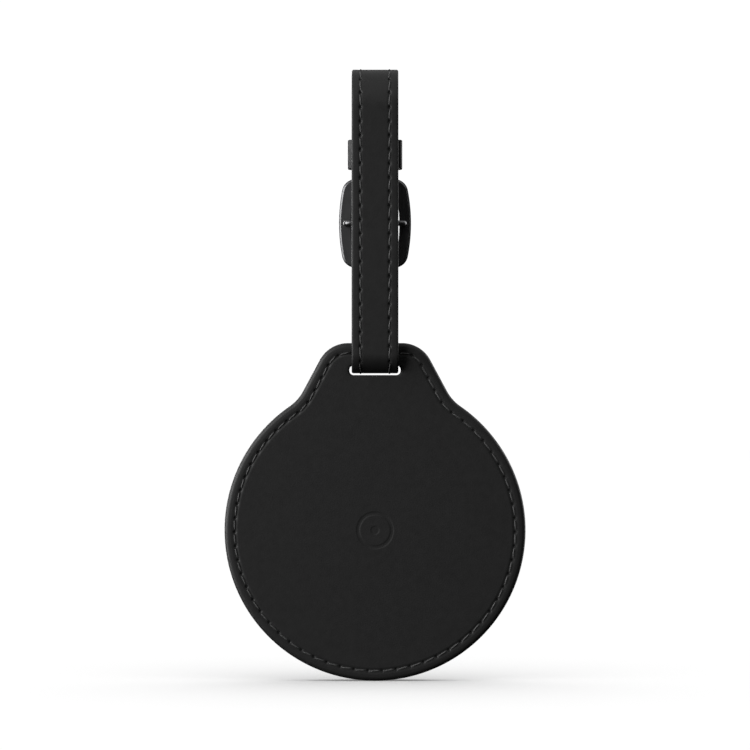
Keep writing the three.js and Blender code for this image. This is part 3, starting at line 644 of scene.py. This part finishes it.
def leather_cover(name, side, holes, mark=None):
    """One cover with a round edge, a sewn channel, needle holes and soft-edged openings."""
    band, faces, looks = edge_band()
    vertices, first, count = [band], len(band), len(SEAM_LINE)
    tops, floors = [np.arange(first - count, first)], [np.arange(count)]
    for hole, radius in holes:
        lip = soft_lip(hole, radius)
        size = len(lip[0])
        vertices.extend(lip)
        faces.extend(grid_faces(len(lip), size, first=first))
        looks.extend([0] * (len(faces) - len(looks)))
        floors.append(np.arange(first, first + size))
        first += len(lip) * size
        tops.append(np.arange(first - size, first))
    stack = np.vstack(vertices)
    for borders, extra in ((tops, face_points(holes, mark is not None)), (floors, None)):
        outlines = [stack[border][:, :2] for border in borders]
        coords, triangles = filled(outlines[0], outlines[1:], extra)
        known = np.concatenate(borders)
        fresh = coords[len(known) :]
        depth = np.zeros(len(fresh)) + (mark(fresh) if mark and extra is not None else 0)
        numbers = np.concatenate([known, first + np.arange(len(fresh))])
        vertices.append(np.column_stack([fresh, depth]))
        faces.extend(tuple(int(i) for i in numbers[t]) for t in triangles)
        looks.extend([0 if extra is not None else 1] * len(triangles))
        first += len(fresh)
    stack = np.vstack(vertices)
    points = np.column_stack([stack[:, 0], side * (FACE_Y - stack[:, 2]), stack[:, 1] + DISC_Z])
    # The third material is the painted shade round the needle holes.
    return outward(make(name, points, faces, [BLACK_LEATHER, EDGE_PAINT, PAINTED_HOLE_SHADE], looks))


def tag_edge():
    """The painted edge between the two covers, with the faint lines of its layers."""
    half = FACE_Y - COVER_THICK - 0.03
    levels = np.linspace(-half, half, 25)
    rings = []
    for y in levels:
        lines = 0.07 * (bell(y - 1.05, 0.1) + bell(y + 1.05, 0.1)) + 0.1 * bell(half - abs(y), 0.12)
        rings.append(upright(tag_outline(lines - 0.02), y, DISC_Z))
    count = len(rings[0])
    slot = slot_outline()
    vertices = np.vstack(rings + [upright(slot, y, DISC_Z) for y in levels])
    outer_total = len(levels) * count
    faces = grid_faces(len(levels), count) + grid_faces(len(levels), len(slot), first=outer_total)
    for row in (0, len(levels) - 1):
        outer = np.arange(row * count, (row + 1) * count)
        hole = outer_total + np.arange(row * len(slot), (row + 1) * len(slot))
        known = np.concatenate([outer, hole])
        _, triangles = filled(vertices[outer][:, [0, 2]], [vertices[hole][:, [0, 2]]])
        faces.extend(tuple(int(i) for i in known[t]) for t in triangles)
    return outward(make("tag_edge", vertices, faces, [EDGE_PAINT]))


# ---------------- stitches

NEEDLE_GAP = 0.75  # of each stitch, taken up by the hole that its thread dips into
TAG_SINK = 0.05  # how deep the middle of a thread lies under the face of the leather
STRAP_SINK = 0.07
SEAM_OVERLAP = 60  # points from the end of the closed seam, repeated before its start
THREAD_HALF_WIDTH = 0.155
THREAD_HALF_HEIGHT = 0.17
STITCH_SLANT = math.radians(5)


def stitch(middle, along, up, length, slant):
    """One stitch: two strands twisted together, dipping into a hole at each end."""
    across = np.cross(up, along)
    along = along * math.cos(slant) + across * math.sin(slant)
    across = np.cross(up, along)
    t = np.linspace(-1, 1, 11)
    angles = np.linspace(0, 2 * math.pi, 11)[:-1]
    swell = (1 - np.abs(t) ** 3.5) ** 0.5 + 0.12
    twist = 1 + 0.13 * np.cos(2 * angles[None, :] + 5.5 * t[:, None])
    height = 0.16 * (1 - t**4) - 0.16
    rise = height[:, None] + THREAD_HALF_HEIGHT * (swell[:, None] * twist) * np.sin(angles)
    spread = THREAD_HALF_WIDTH * swell[:, None] * twist * np.cos(angles)
    points = (
        middle
        + (t * length / 2)[:, None, None] * along
        + spread[:, :, None] * across
        + rise[:, :, None] * up
    )
    rows, columns = points.shape[:2]
    return points.reshape(-1, 3), grid_faces(rows, columns) + end_caps(rows, columns)


def stitches(name, line, up, travelled, pitch, count, sink, slant=STITCH_SLANT):
    """A row of stitches along a line on a surface, whose points lie at the given distances along it."""

    def at(distance, values):
        return np.array([np.interp(distance, travelled, values[:, k]) for k in range(3)])

    parts = []
    for i in range(count):
        middle = (i + 0.5) * pitch
        chord = at(middle + pitch / 2, line) - at(middle - pitch / 2, line)
        length = np.linalg.norm(chord)
        along = chord / length
        normal = at(middle, up)
        normal -= along * (normal @ along)
        normal /= np.linalg.norm(normal)
        parts.append(stitch(at(middle, line) - sink * normal, along, normal, length - NEEDLE_GAP, slant))
    vertices, faces = joined(parts)
    return outward(make(name, vertices, faces, [THREAD]))


def tag_seam(name, side):
    """The seam round the tag, on one of its faces."""
    line = upright(SEAM_LINE, side * FACE_Y, DISC_Z)
    line = np.vstack([line[-SEAM_OVERLAP:], line])
    before_start = SEAM_TRAVEL[-SEAM_OVERLAP:] - SEAM_LENGTH
    travelled = np.concatenate([before_start, SEAM_TRAVEL]) - SEAM_START
    up = np.tile([0.0, side, 0.0], (len(line), 1))
    return stitches(name, line, up, travelled, TAG_PITCH, TAG_STITCHES, TAG_SINK)


# ---------------- strap

SPLIT_Z = BAR_Z + 3.4  # the strap's plies part here to go round the bar
BAR_GAP = 0.1
LAYER_GAP = 0.15  # between the strap and its tail, where they lie on each other
SEWN_FROM = 2.77  # along the strap's line, from the buckle
SEWN_TO_TIP = 4.76
STRAP_CORNER = 0.4
PUNCH_REACH = (5.2, 10.5)  # from the front of the tail to clear of its back, in Y
OVAL_HOLE = (BAR_Z - 1.55, 1.1, 2.55)  # height of its middle, half width, half height
ROUND_HOLE_Z = BAR_Z - 1.3
ROUND_HOLE = (0.75, 0.7501)  # a hair taller than wide, so that no two points of the cutter coincide
HOLE_PITCH = 5.0


def strap_line():
    """Middle of the strap in Y and Z, from the bar over the arch, through the slot, to the tip."""
    half = STRAP_THICK / 2
    arch = arc(0, 0, 1, 0, 180, 60) * [RUN_Y, ARCH_RISE + half] - [0, ARCH_RISE]
    radius = WRAP_RADIUS + half
    corner_y, corner_z = RUN_Y - radius, WRAP_RADIUS - LOOP_DROP
    crest_y = BAR_Y + BAR_RADIUS + BAR_GAP + PLY + LAYER_GAP + half
    rest_y = RUN_Y + STRAP_THICK + LAYER_GAP
    crest = (crest_y, BAR_Z)
    rise = bezier([(RUN_Y, FLEX_TOP), (RUN_Y, FLEX_TOP + 6), (crest_y, BAR_Z - 6), crest], 40)
    settle = bezier([crest, (crest_y, BAR_Z + 2), (rest_y, BAR_Z + 3), (rest_y, BAR_Z + 6)], 20)
    line = [
        [(RUN_Y, SPLIT_Z)],
        arch,
        arc(-corner_y, corner_z, radius, 180, 270, 24),
        arc(corner_y, corner_z, radius, 270, 360, 24),
        rise,
        settle[1:],
        [(rest_y, TAIL_TIP)],
    ]
    return resample(np.vstack(line), 0.15)


def strap_section():
    """Across the strap: round painted edges, and a shallow channel under each row of stitches."""
    corner_x = STRAP_WIDTH / 2 - STRAP_CORNER
    edge = corner_x + STRAP_CORNER * np.cos(np.radians(np.linspace(0, 90, 6)))
    beside = np.array([0.08, 0.17, 0.29, 0.42, 0.57])
    seam = STRAP_SEAM_X + np.concatenate([beside[::-1], [0], -beside])
    x = np.concatenate([edge, [3.9], seam, [2.3, 1.2, 0]])
    past_corner = np.maximum(x - corner_x, 0)
    corner = STRAP_CORNER - np.sqrt(np.maximum(STRAP_CORNER**2 - past_corner**2, 0))
    height = STRAP_THICK / 2 - corner - 0.06 * bell(x - STRAP_SEAM_X, 0.3)
    right = np.column_stack([x, height])
    top = np.vstack([right, right[:-1][::-1] * [-1, 1]])
    return np.vstack([top, top[::-1] * [1, -1]])


def strap_rows_at(travelled, total):
    """Distance along the seams in units of one stitch, counted from a needle hole."""
    count = round((total - SEWN_FROM - SEWN_TO_TIP) / STITCH_PITCH)
    return (travelled - SEWN_FROM) / (total - SEWN_FROM - SEWN_TO_TIP) * count, count


def strap_holes(sections, travelled, total):
    """Distance from each point of the strap's sections to the nearest needle hole."""
    stitch_number, count = strap_rows_at(travelled, total)
    along = (stitch_number - np.clip(np.round(stitch_number), 0, count)) * STITCH_PITCH
    return np.hypot(along[:, None], np.abs(sections[:, :, 0]) - STRAP_SEAM_X)


def strap_faces(section, away):
    """Material of each face between two rows: 0 outside, 1 painted edge, 2 lining, 3 painted shade round
    a needle hole.
    """
    middle = (section + np.roll(section, -1, axis=0)) / 2
    edge = np.abs(middle[:, 0]) > STRAP_WIDTH / 2 - 0.3
    kinds = np.where(edge, 1, np.where(middle[:, 1] > 0, 0, 2))
    # Faces close to a needle hole get the painted shade.
    kinds = np.where(away[:-1] < SHADE_RADIUS, 3, kinds)
    return np.concatenate([kinds.ravel(), [1, 1]])


def punch(piece, cutters):
    """Cuts closed meshes out of a piece."""
    for cutter in cutters:
        modifier = piece.modifiers.new("punch", "BOOLEAN")
        modifier.operation = "DIFFERENCE"
        modifier.solver = "EXACT"
        modifier.object = cutter
        bpy.context.view_layer.objects.active = piece
        bpy.ops.object.modifier_apply(modifier=modifier.name)
        bpy.data.objects.remove(cutter)
    return piece


def punch_tool(z, half_x, half_z):
    """A short round or oval rod along Y, through the tail only."""
    loop = rounded_section(2 * half_x, 2 * half_z, half_x, 8)
    vertices = np.vstack([upright(loop, y, z) for y in PUNCH_REACH])
    faces = grid_faces(2, len(loop)) + end_caps(2, len(loop))
    return outward(make("punch_tool", vertices, faces, [EDGE_PAINT]))


def strap():
    """The whole strap as one piece, with a rounded tip and punched holes in its tail."""
    line_yz = strap_line()
    line, side, normal = across_x(line_yz)
    section = strap_section()
    travelled, total = lengths(line_yz)
    from_tip = total - travelled
    narrow = np.ones(len(line))
    tip = from_tip < STRAP_WIDTH / 2
    reach = (STRAP_WIDTH / 2 - from_tip[tip]) / (STRAP_WIDTH / 2)
    narrow[tip] = np.sqrt(np.maximum(1 - reach**2, 0.02))
    sections = np.broadcast_to(section, (len(line), *section.shape)).copy()
    away = strap_holes(sections, travelled, total)
    sections[:, :, 1] -= np.sign(sections[:, :, 1]) * needle_hole(away)
    sections[:, :, 0] *= narrow[:, None]
    vertices, faces = sweep(line, side, normal, sections)
    # The fourth material is the painted shade round the needle holes.
    materials = [BLACK_LEATHER, EDGE_PAINT, LINING_LEATHER, PAINTED_HOLE_SHADE]
    piece = outward(make("strap_leather", vertices, faces, materials, strap_faces(section, away)))
    tools = [punch_tool(*OVAL_HOLE)]
    tools += [punch_tool(ROUND_HOLE_Z - HOLE_PITCH * k, *ROUND_HOLE) for k in (-1, 1, 2)]
    return punch(piece, tools)


def strap_seam(name, x, outside):
    """One row of stitches along the strap, on its outer or inner face."""
    line_yz = strap_line()
    line, _, normal = across_x(line_yz)
    facing = 1 if outside else -1
    surface = line + facing * (STRAP_THICK / 2) * normal
    surface[:, 0] = x
    travelled, total = lengths(line_yz)
    ends = np.array([SEWN_FROM, total - SEWN_TO_TIP])
    keep = np.linspace(*ends, len(line))
    surface = np.column_stack([np.interp(keep, travelled, surface[:, k]) for k in range(3)])
    normal = np.column_stack([np.interp(keep, travelled, normal[:, k]) for k in range(3)])
    _, count = strap_rows_at(travelled, total)
    pitch = (ends[1] - ends[0]) / count
    slant = -math.copysign(STITCH_SLANT, x)
    return stitches(name, surface, facing * normal, keep - keep[0], pitch, count, STRAP_SINK, slant)


def folded_end(x, width):
    """One finger of the outer ply, folded round the bar beside the prong."""
    fold = BAR_RADIUS + BAR_GAP + PLY / 2
    offset = STRAP_THICK / 2 - PLY / 2
    start, bend, settle = SPLIT_Z + 0.1, SPLIT_Z - 1.4, BAR_Z + 1.6
    sides = []
    for hand in (1, -1):
        run_y, bar_y = RUN_Y + hand * offset, BAR_Y + hand * fold
        sides.append(bezier([(run_y, start), (run_y, bend), (bar_y, settle), (bar_y, BAR_Z)], 14))
    line_yz = np.vstack([sides[0], arc(BAR_Y, BAR_Z, fold, 0, -180, 24)[1:-1], sides[1][::-1]])
    line, side, normal = across_x(line_yz)
    line[:, 0] = x
    return sweep(line, side, normal, rounded_section(width, PLY, 0.28))


def strap_fold():
    """The end of the strap round the buckle's bar, in two fingers with room for the prong."""
    notch = 1.15
    width = STRAP_WIDTH / 2 - notch
    middle = notch + width / 2
    vertices, faces = joined([folded_end(-middle, width), folded_end(middle, width)])
    return outward(make("strap_fold", vertices, faces, [BLACK_LEATHER]))


def keeper():
    """A flat leather band round both layers of the strap, with rounded edges."""
    width, depth, height = KEEPER_HIGH - KEEPER_LOW + [KEEPER_GROW, 0, KEEPER_GROW]
    loop = rounded_section(width - KEEPER_WALL, depth - KEEPER_WALL, 0.75, 24)
    loop = resample(np.vstack([loop, loop[:1]]), 0.1)[:-1]
    along = tangents(loop, closed=True)
    middle = (KEEPER_HIGH + KEEPER_LOW) / 2
    line = np.column_stack([loop + middle[:2], np.full(len(loop), middle[2])])
    side = np.tile([0.0, 0.0, 1.0], (len(line), 1))
    normal = np.column_stack([along[:, 1], -along[:, 0], np.zeros(len(line))])
    section = rounded_section(height, KEEPER_WALL, 0.3, 5)
    vertices, faces = sweep(line, side, normal, section, closed=True)
    return outward(make("keeper_band", vertices, faces, [BLACK_LEATHER]))


# ---------------- buckle


def bowed_outline(width, height, side_radius, corner):
    """Round corners and sides, the left and right sides bowed out; starts at the top's middle."""
    bow_x = width / 2 - side_radius
    corner_z = height / 2 - corner
    corner_x = bow_x + math.sqrt((side_radius - corner) ** 2 - corner_z**2)
    tangent = math.degrees(math.asin(corner_z / (side_radius - corner)))
    right = [
        straight((0, height / 2), (corner_x, height / 2), 16),
        arc(corner_x, corner_z, corner, 90, tangent, 14)[:-1],
        arc(bow_x, 0, side_radius, tangent, -tangent, 40)[:-1],
        arc(corner_x, -corner_z, corner, -tangent, -90, 14)[:-1],
        straight((corner_x, -height / 2), (0, -height / 2), 16),
        [(0, -height / 2)],
    ]
    return mirrored(np.vstack(right))


def frame_section(thick):
    """Across a rail of the frame, in units of its width and in depth: a land, a bevel and a flat."""
    half, step = thick / 2, 0.25
    outside = [(0.5, half - step), (0.5, step - half), (0.44, step - half), (0.35, -half), (0.32, -half)]
    inside_edge = [(-0.36, -half), (-0.39, -half), (-0.5, step - half), (-0.5, half - 0.2)]
    back = [(-0.47, half - 0.05), (-0.44, half), (0.32, half), (0.35, half), (0.44, half - step)]
    return np.array(outside + inside_edge + back)


def frame_ring():
    """The buckle's frame: a bowed ring of plated metal, bevelled along its outer edge."""
    low, high = FRAME_LOW[1], FRAME_HIGH[1]
    outer = bowed_outline(*FRAME_OUTER)
    inner = bowed_outline(*FRAME_WINDOW) + WINDOW_SHIFT
    profile = frame_section(high - low)
    reach = profile[None, :, 0, None] + 0.5
    points = inner[:, None, :] + (outer - inner)[:, None, :] * reach
    y = np.broadcast_to(profile[:, 1] + (high + low) / 2, points.shape[:2])
    vertices = np.stack([points[:, :, 0], y, points[:, :, 1] + BAR_Z + FRAME_LIFT], axis=2).reshape(-1, 3)
    faces = grid_faces(len(outer), len(profile), wrap_rows=True)
    ring = outward(make("buckle_ring", vertices, faces, [BLACK_METAL]))
    bevel = ring.modifiers.new("soft_edges", "BEVEL")
    bevel.width, bevel.segments, bevel.limit_method = 0.06 * MM, 2, "ANGLE"
    bevel.angle_limit = math.radians(25)
    bevel.harden_normals = True
    return ring


def staple():
    """The bar and its two legs, bent from round wire."""
    leg_x, bend = BAR_HIGH[0] - BAR_RADIUS, 1.0
    top_y = FRAME_LOW[1] + 0.1
    right = [
        straight((0, BAR_Y), (leg_x - bend, BAR_Y), 20),
        arc(leg_x - bend, BAR_Y + bend, bend, -90, 0, 10),
        [(leg_x, top_y)],
    ]
    right = np.vstack(right)
    path = np.vstack([right[::-1] * [-1, 1], right[1:]])
    along = tangents(path)
    line = np.column_stack([path, np.full(len(path), BAR_Z)])
    side = np.tile([0.0, 0.0, 1.0], (len(line), 1))
    normal = np.column_stack([-along[:, 1], along[:, 0], np.zeros(len(line))])
    vertices, faces = sweep(line, side, normal, arc(0, 0, BAR_RADIUS, 0, 360, 20)[:-1])
    return outward(make("buckle_staple", vertices, faces, [BLACK_METAL]))


def prong():
    """The pin: an eye round the bar and a bent shank that thins towards its tip."""
    eye_radius, width, thick = 1.05, 1.6, 1.05
    tip_y = FRAME_HIGH[1] + thick / 2 + 0.1
    root, reach = (BAR_Y + 0.75, BAR_Z - 0.62), (BAR_Y + 4.6, BAR_Z - 3.4)
    shank = bezier([root, reach, (tip_y, BAR_Z - 4.4), (tip_y, BAR_Z - 9.1)], 40)
    line, side, normal = across_x(resample(shank, 0.3))
    taper = np.linspace(1, 0.72, len(line))
    taper[-3:] *= [0.95, 0.82, 0.5]
    sections = rounded_section(width, thick, 0.4)[None] * taper[:, None, None]
    shank_part = sweep(line, side, normal, sections)
    loop = arc(BAR_Y, BAR_Z, eye_radius, 0, 360, 40)[:-1]
    spokes = (loop - [BAR_Y, BAR_Z]) / eye_radius
    eye_line = np.column_stack([np.zeros(len(loop)), loop])
    eye_normal = np.column_stack([np.zeros(len(loop)), spokes])
    eye_side = np.tile([1.0, 0.0, 0.0], (len(loop), 1))
    eye_part = sweep(eye_line, eye_side, eye_normal, rounded_section(width, 0.6, 0.25), closed=True)
    vertices, faces = joined([shank_part, eye_part])
    return outward(make("buckle_pin", vertices, faces, [BLACK_METAL]))


# ---------------- button, bezel and light


def turned(name, profile, node, material, steps=64):
    """A closed or axis-to-axis profile of (radius, y) turned round the Y axis of a node's box."""
    x, z = middle_xz(node)
    profile = np.array(profile)
    angles = np.radians(np.linspace(0, 360, steps + 1)[:-1])
    points = np.stack(
        [
            x + profile[None, :, 0] * np.cos(angles)[:, None],
            np.broadcast_to(profile[:, 1], (steps, len(profile))),
            z + profile[None, :, 0] * np.sin(angles)[:, None],
        ],
        axis=2,
    )
    faces = grid_faces(steps, len(profile), wrap_rows=True)
    return outward(make(name, points.reshape(-1, 3), faces, [material]))


def button_top():
    """The push button: a shallow dish with a soft rim, on a stem."""
    low, high = box_mm("button_cap")
    radius, top = (high[0] - low[0]) / 2, high[1]
    rim = arc(radius - 0.35, top - 0.35, 0.35, 0, 90, 6)
    out = np.linspace(radius - 0.5, 0.02, 10)
    dish = np.column_stack([out, top - 0.22 * np.cos(out / (radius - 0.4) * math.pi / 2)])
    stem = [(0.02, low[1]), (0.9, low[1]), (1.0, low[1] + 0.1), (1.0, top - 0.72)]
    under = [(radius - 0.1, top - 0.72), (radius, top - 0.62)]
    profile = [*stem, *under, *rim, *dish]
    return turned("push_button", profile, "button_cap", SLOT_MATERIALS["case_plastic"])


def button_ring():
    """The slim metal ring round the button."""
    low, high = box_mm("button_bezel")
    outer, inner = (high[0] - low[0]) / 2, (high[0] - low[0]) / 2 - 1.05
    top = high[1]
    crown = arc((outer + inner) / 2, top - 0.35, (outer - inner) / 2, 0, 180, 14) * [1, 0.66]
    crown[:, 1] += top - crown[:, 1].max()
    profile = [(inner, low[1]), (outer, low[1]), *crown]
    return turned("button_ring", profile, "button_bezel", BLACK_METAL)


def light_window():
    """The end of the light guide: a clear rod with a domed tip."""
    low, high = box_mm("light_pipe")
    radius, rise = 0.75, 0.25
    turn = np.linspace(0, math.pi / 2 - 0.03, 8)
    dome = np.column_stack([radius * np.cos(turn), high[1] - rise + rise * np.sin(turn)])
    profile = [(0.02, low[1]), (radius, low[1]), *dome]
    return turned("light_guide_rod", profile, "light_pipe", SLOT_MATERIALS["clear_plastic"], 32)


# ---------------- assembly


def sound_holes():
    """The five small holes over the buzzer, in the rear cover."""
    x, z = middle_xz("buzzer_plate")
    places = arc(x, z - DISC_Z, 1.7, 0, 360, 5)[:-1]
    return [(round_hole(px, pz, 0.4, 16), 0.12) for px, pz in places]


def rear_holes():
    """Slot, button, status light and sound holes of the rear cover."""
    x, z = middle_xz("light_pipe")
    button, window = round_hole(0, 0, 4.25, 64), round_hole(x, z - DISC_Z, 0.87, 24)
    return [(slot_outline, SLOT_LIP), (button, 0.25), (window, 0.15), *sound_holes()]


def stand_in(nodes):
    """Hides the CAD nodes that a piece stands in for, if there are any."""
    if nodes:
        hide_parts(*nodes)


def dress(piece, body, slot, *nodes):
    """Lets a piece ride on a body in place of CAD nodes."""
    stand_in(nodes)
    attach(piece, body)


def dress_bending(piece, slot, *nodes):
    """Hides the CAD nodes that a strap piece stands in for, and bakes its place into its mesh; it rides
    on no body.
    """
    stand_in(nodes)
    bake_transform(piece)


STRAP_RUNS = ("strap", "tail", "wrap")
STRAP_PLIES = [f"{run}_{ply}" for run in STRAP_RUNS for ply in ("outer", "lining")]
STRAP_NODES = [*STRAP_PLIES, "strap_flex_front", "strap_flex_rear"]


def strap_rows():
    """Two rows of stitches on each face of the strap; the outer ones stand for the CAD threads."""
    for hand, x in (("left", -STRAP_SEAM_X), ("right", STRAP_SEAM_X)):
        threads = [f"{run}_thread_{hand}" for run in STRAP_RUNS]
        dress_bending(strap_seam(f"strap_stitches_{hand}", x, True), "thread", *threads)
        dress_bending(strap_seam(f"lining_stitches_{hand}", x, False), "thread")


def build_leather():
    front = leather_cover("front_leather", -1, [(slot_outline, SLOT_LIP)], pressed_mark)
    dress(front, "tag", "leather", "front_cover")
    dress(leather_cover("rear_leather", 1, rear_holes()), "tag", "leather", "rear_cover")
    dress(tag_edge(), "tag", "leather", "core_frame")
    dress(tag_seam("front_stitches", -1), "tag", "thread", "front_thread")
    dress(tag_seam("rear_stitches", 1), "tag", "thread", "rear_thread")
    dress_bending(strap(), "leather", *STRAP_NODES)
    strap_rows()
    dress(strap_fold(), "strap", "leather")
    dress(keeper(), "keeper", "leather", "keeper_loop")


def build_metal():
    dress(frame_ring(), "buckle", "black_metal", "buckle_frame")
    dress(staple(), "buckle", "black_metal", "buckle_bar")
    dress(prong(), "prong", "black_metal", "buckle_prong")
    dress(button_ring(), "tag", "black_metal", "button_bezel")


def build_plastic():
    dress(button_top(), "button", "case_plastic", "button_cap")
    dress(light_window(), "tag", "clear_plastic", "light_pipe")


# ---------------- stage, light and camera

FLOOR_GLOW = 0.21
FLOOR_SKY = 3.15
TOP_LIGHT = 1.5
ROOM_GLOW = 0.02
BACKDROP_GLOW = 1.05
KEY_LIGHT = 11.0
FRONT_LIGHT = 13.0
BACK_LIGHT = 12.0
SIDE_LIGHT = 6.0
CAMERA_DISTANCE = 0.95  # in metres, like the place of every lamp
VIEW_WIDTH = 0.1617


def floor():
    """A large pale floor that the tag just touches. It glows a little, as a light table does."""
    size, z = 3000.0, FLOOR_Z - 0.05
    corners = [(-size, -size, z), (size, -size, z), (size, size, z), (-size, size, z)]
    n = Nodes("pale_floor", Roughness=0.9, Specular_IOR_Level=0.1, Emission_Strength=FLOOR_GLOW)
    tone = n.mixed(n.spread(n.noise(400), 0, 1), 0.80, 0.81)
    n.shader.inputs["Emission Color"].default_value = (1, 1, 1, 1)
    ground = make("floor", corners, [(0, 1, 2, 3)], [n.finish(Base_Color=tone)], smooth=False)
    ground.visible_diffuse = False
    ground.visible_glossy = False
    return ground


def world():
    """White to the camera, and a dim room to everything that it lights."""
    scene_world = bpy.data.worlds.new("studio")
    bpy.context.scene.world = scene_world
    scene_world.use_nodes = True
    tree = scene_world.node_tree
    tree.nodes.clear()
    kinds = ("OutputWorld", "MixShader", "Background", "Background", "LightPath")
    output, mix, room, seen, rays = [tree.nodes.new(f"ShaderNode{kind}") for kind in kinds]
    for background, strength in ((room, ROOM_GLOW), (seen, BACKDROP_GLOW)):
        background.inputs["Color"].default_value = (1, 1, 1, 1)
        background.inputs["Strength"].default_value = strength
    tree.links.new(rays.outputs["Is Camera Ray"], mix.inputs["Fac"])
    tree.links.new(room.outputs[0], mix.inputs[1])
    tree.links.new(seen.outputs[0], mix.inputs[2])
    tree.links.new(mix.outputs[0], output.inputs["Surface"])


def new_lamp(name, kind, power):
    """A lamp that is linked to the scene."""
    data = bpy.data.lights.new(name, kind)
    data.energy = power
    lamp = bpy.data.objects.new(name, data)
    bpy.context.scene.collection.objects.link(lamp)
    return lamp


def area_light(name, place, target, size, power):
    """A soft rectangular light, with sizes and places in metres."""
    lamp = new_lamp(name, "AREA", power)
    lamp.data.shape = "RECTANGLE"
    lamp.data.size, lamp.data.size_y = size
    lamp.location = place
    lamp.rotation_mode = "QUATERNION"
    lamp.rotation_quaternion = (Vector(target) - Vector(place)).to_track_quat("-Z", "Y")
    return lamp


def linked(name, ground, state):
    """A collection that a lamp may light: only the floor, or all but the floor."""
    group = bpy.data.collections.new(name)
    group.objects.link(ground)
    group.collection_objects[0].light_linking.link_state = state
    return group


def soft_sky(name, power):
    """Even, very soft light from straight above."""
    lamp = new_lamp(name, "SUN", power)
    lamp.data.angle = math.radians(120)
    return lamp


def lights(ground):
    """One sky shades the floor under the tag; the other lamps light the tag alone."""
    middle = (0, 0, (DISC_Z + 30) * MM)
    only_floor = linked("only_floor", ground, "INCLUDE")
    not_floor = linked("not_floor", ground, "EXCLUDE")
    soft_sky("floor_sky", FLOOR_SKY).light_linking.receiver_collection = only_floor
    lamps = [
        soft_sky("top_sky", TOP_LIGHT),
        area_light("key_left", (-0.80, -0.22, 0.02), middle, (0.35, 0.9), KEY_LIGHT),
        area_light("front_fill", (-0.95, -1.05, 0.35), middle, (0.6, 0.8), FRONT_LIGHT),
        area_light("back_fill", (-0.5, 1.1, 0.1), middle, (0.8, 0.8), BACK_LIGHT),
        area_light("side_fill", (0.8, 0.6, 0.1), middle, (0.5, 0.9), SIDE_LIGHT),
    ]
    for lamp in lamps:
        lamp.light_linking.receiver_collection = not_floor


def camera():
    """A long lens, level, straight in front of the tag."""
    data = bpy.data.cameras.new("camera")
    data.sensor_width = 36.0
    data.lens = data.sensor_width * CAMERA_DISTANCE / VIEW_WIDTH
    data.clip_start, data.clip_end = 0.05, 50
    eye = bpy.data.objects.new("camera", data)
    bpy.context.scene.collection.objects.link(eye)
    eye.location = (0, -CAMERA_DISTANCE - FACE_Y * MM, (DISC_Z + 33.5) * MM)
    eye.rotation_euler = (math.radians(90), 0, 0)
    bpy.context.scene.camera = eye


def main():
    paint_frame()
    build_leather()
    build_metal()
    build_plastic()
    ground = floor()
    world()
    lights(ground)
    camera()
    bpy.context.scene.view_settings.view_transform = "Standard"


main()
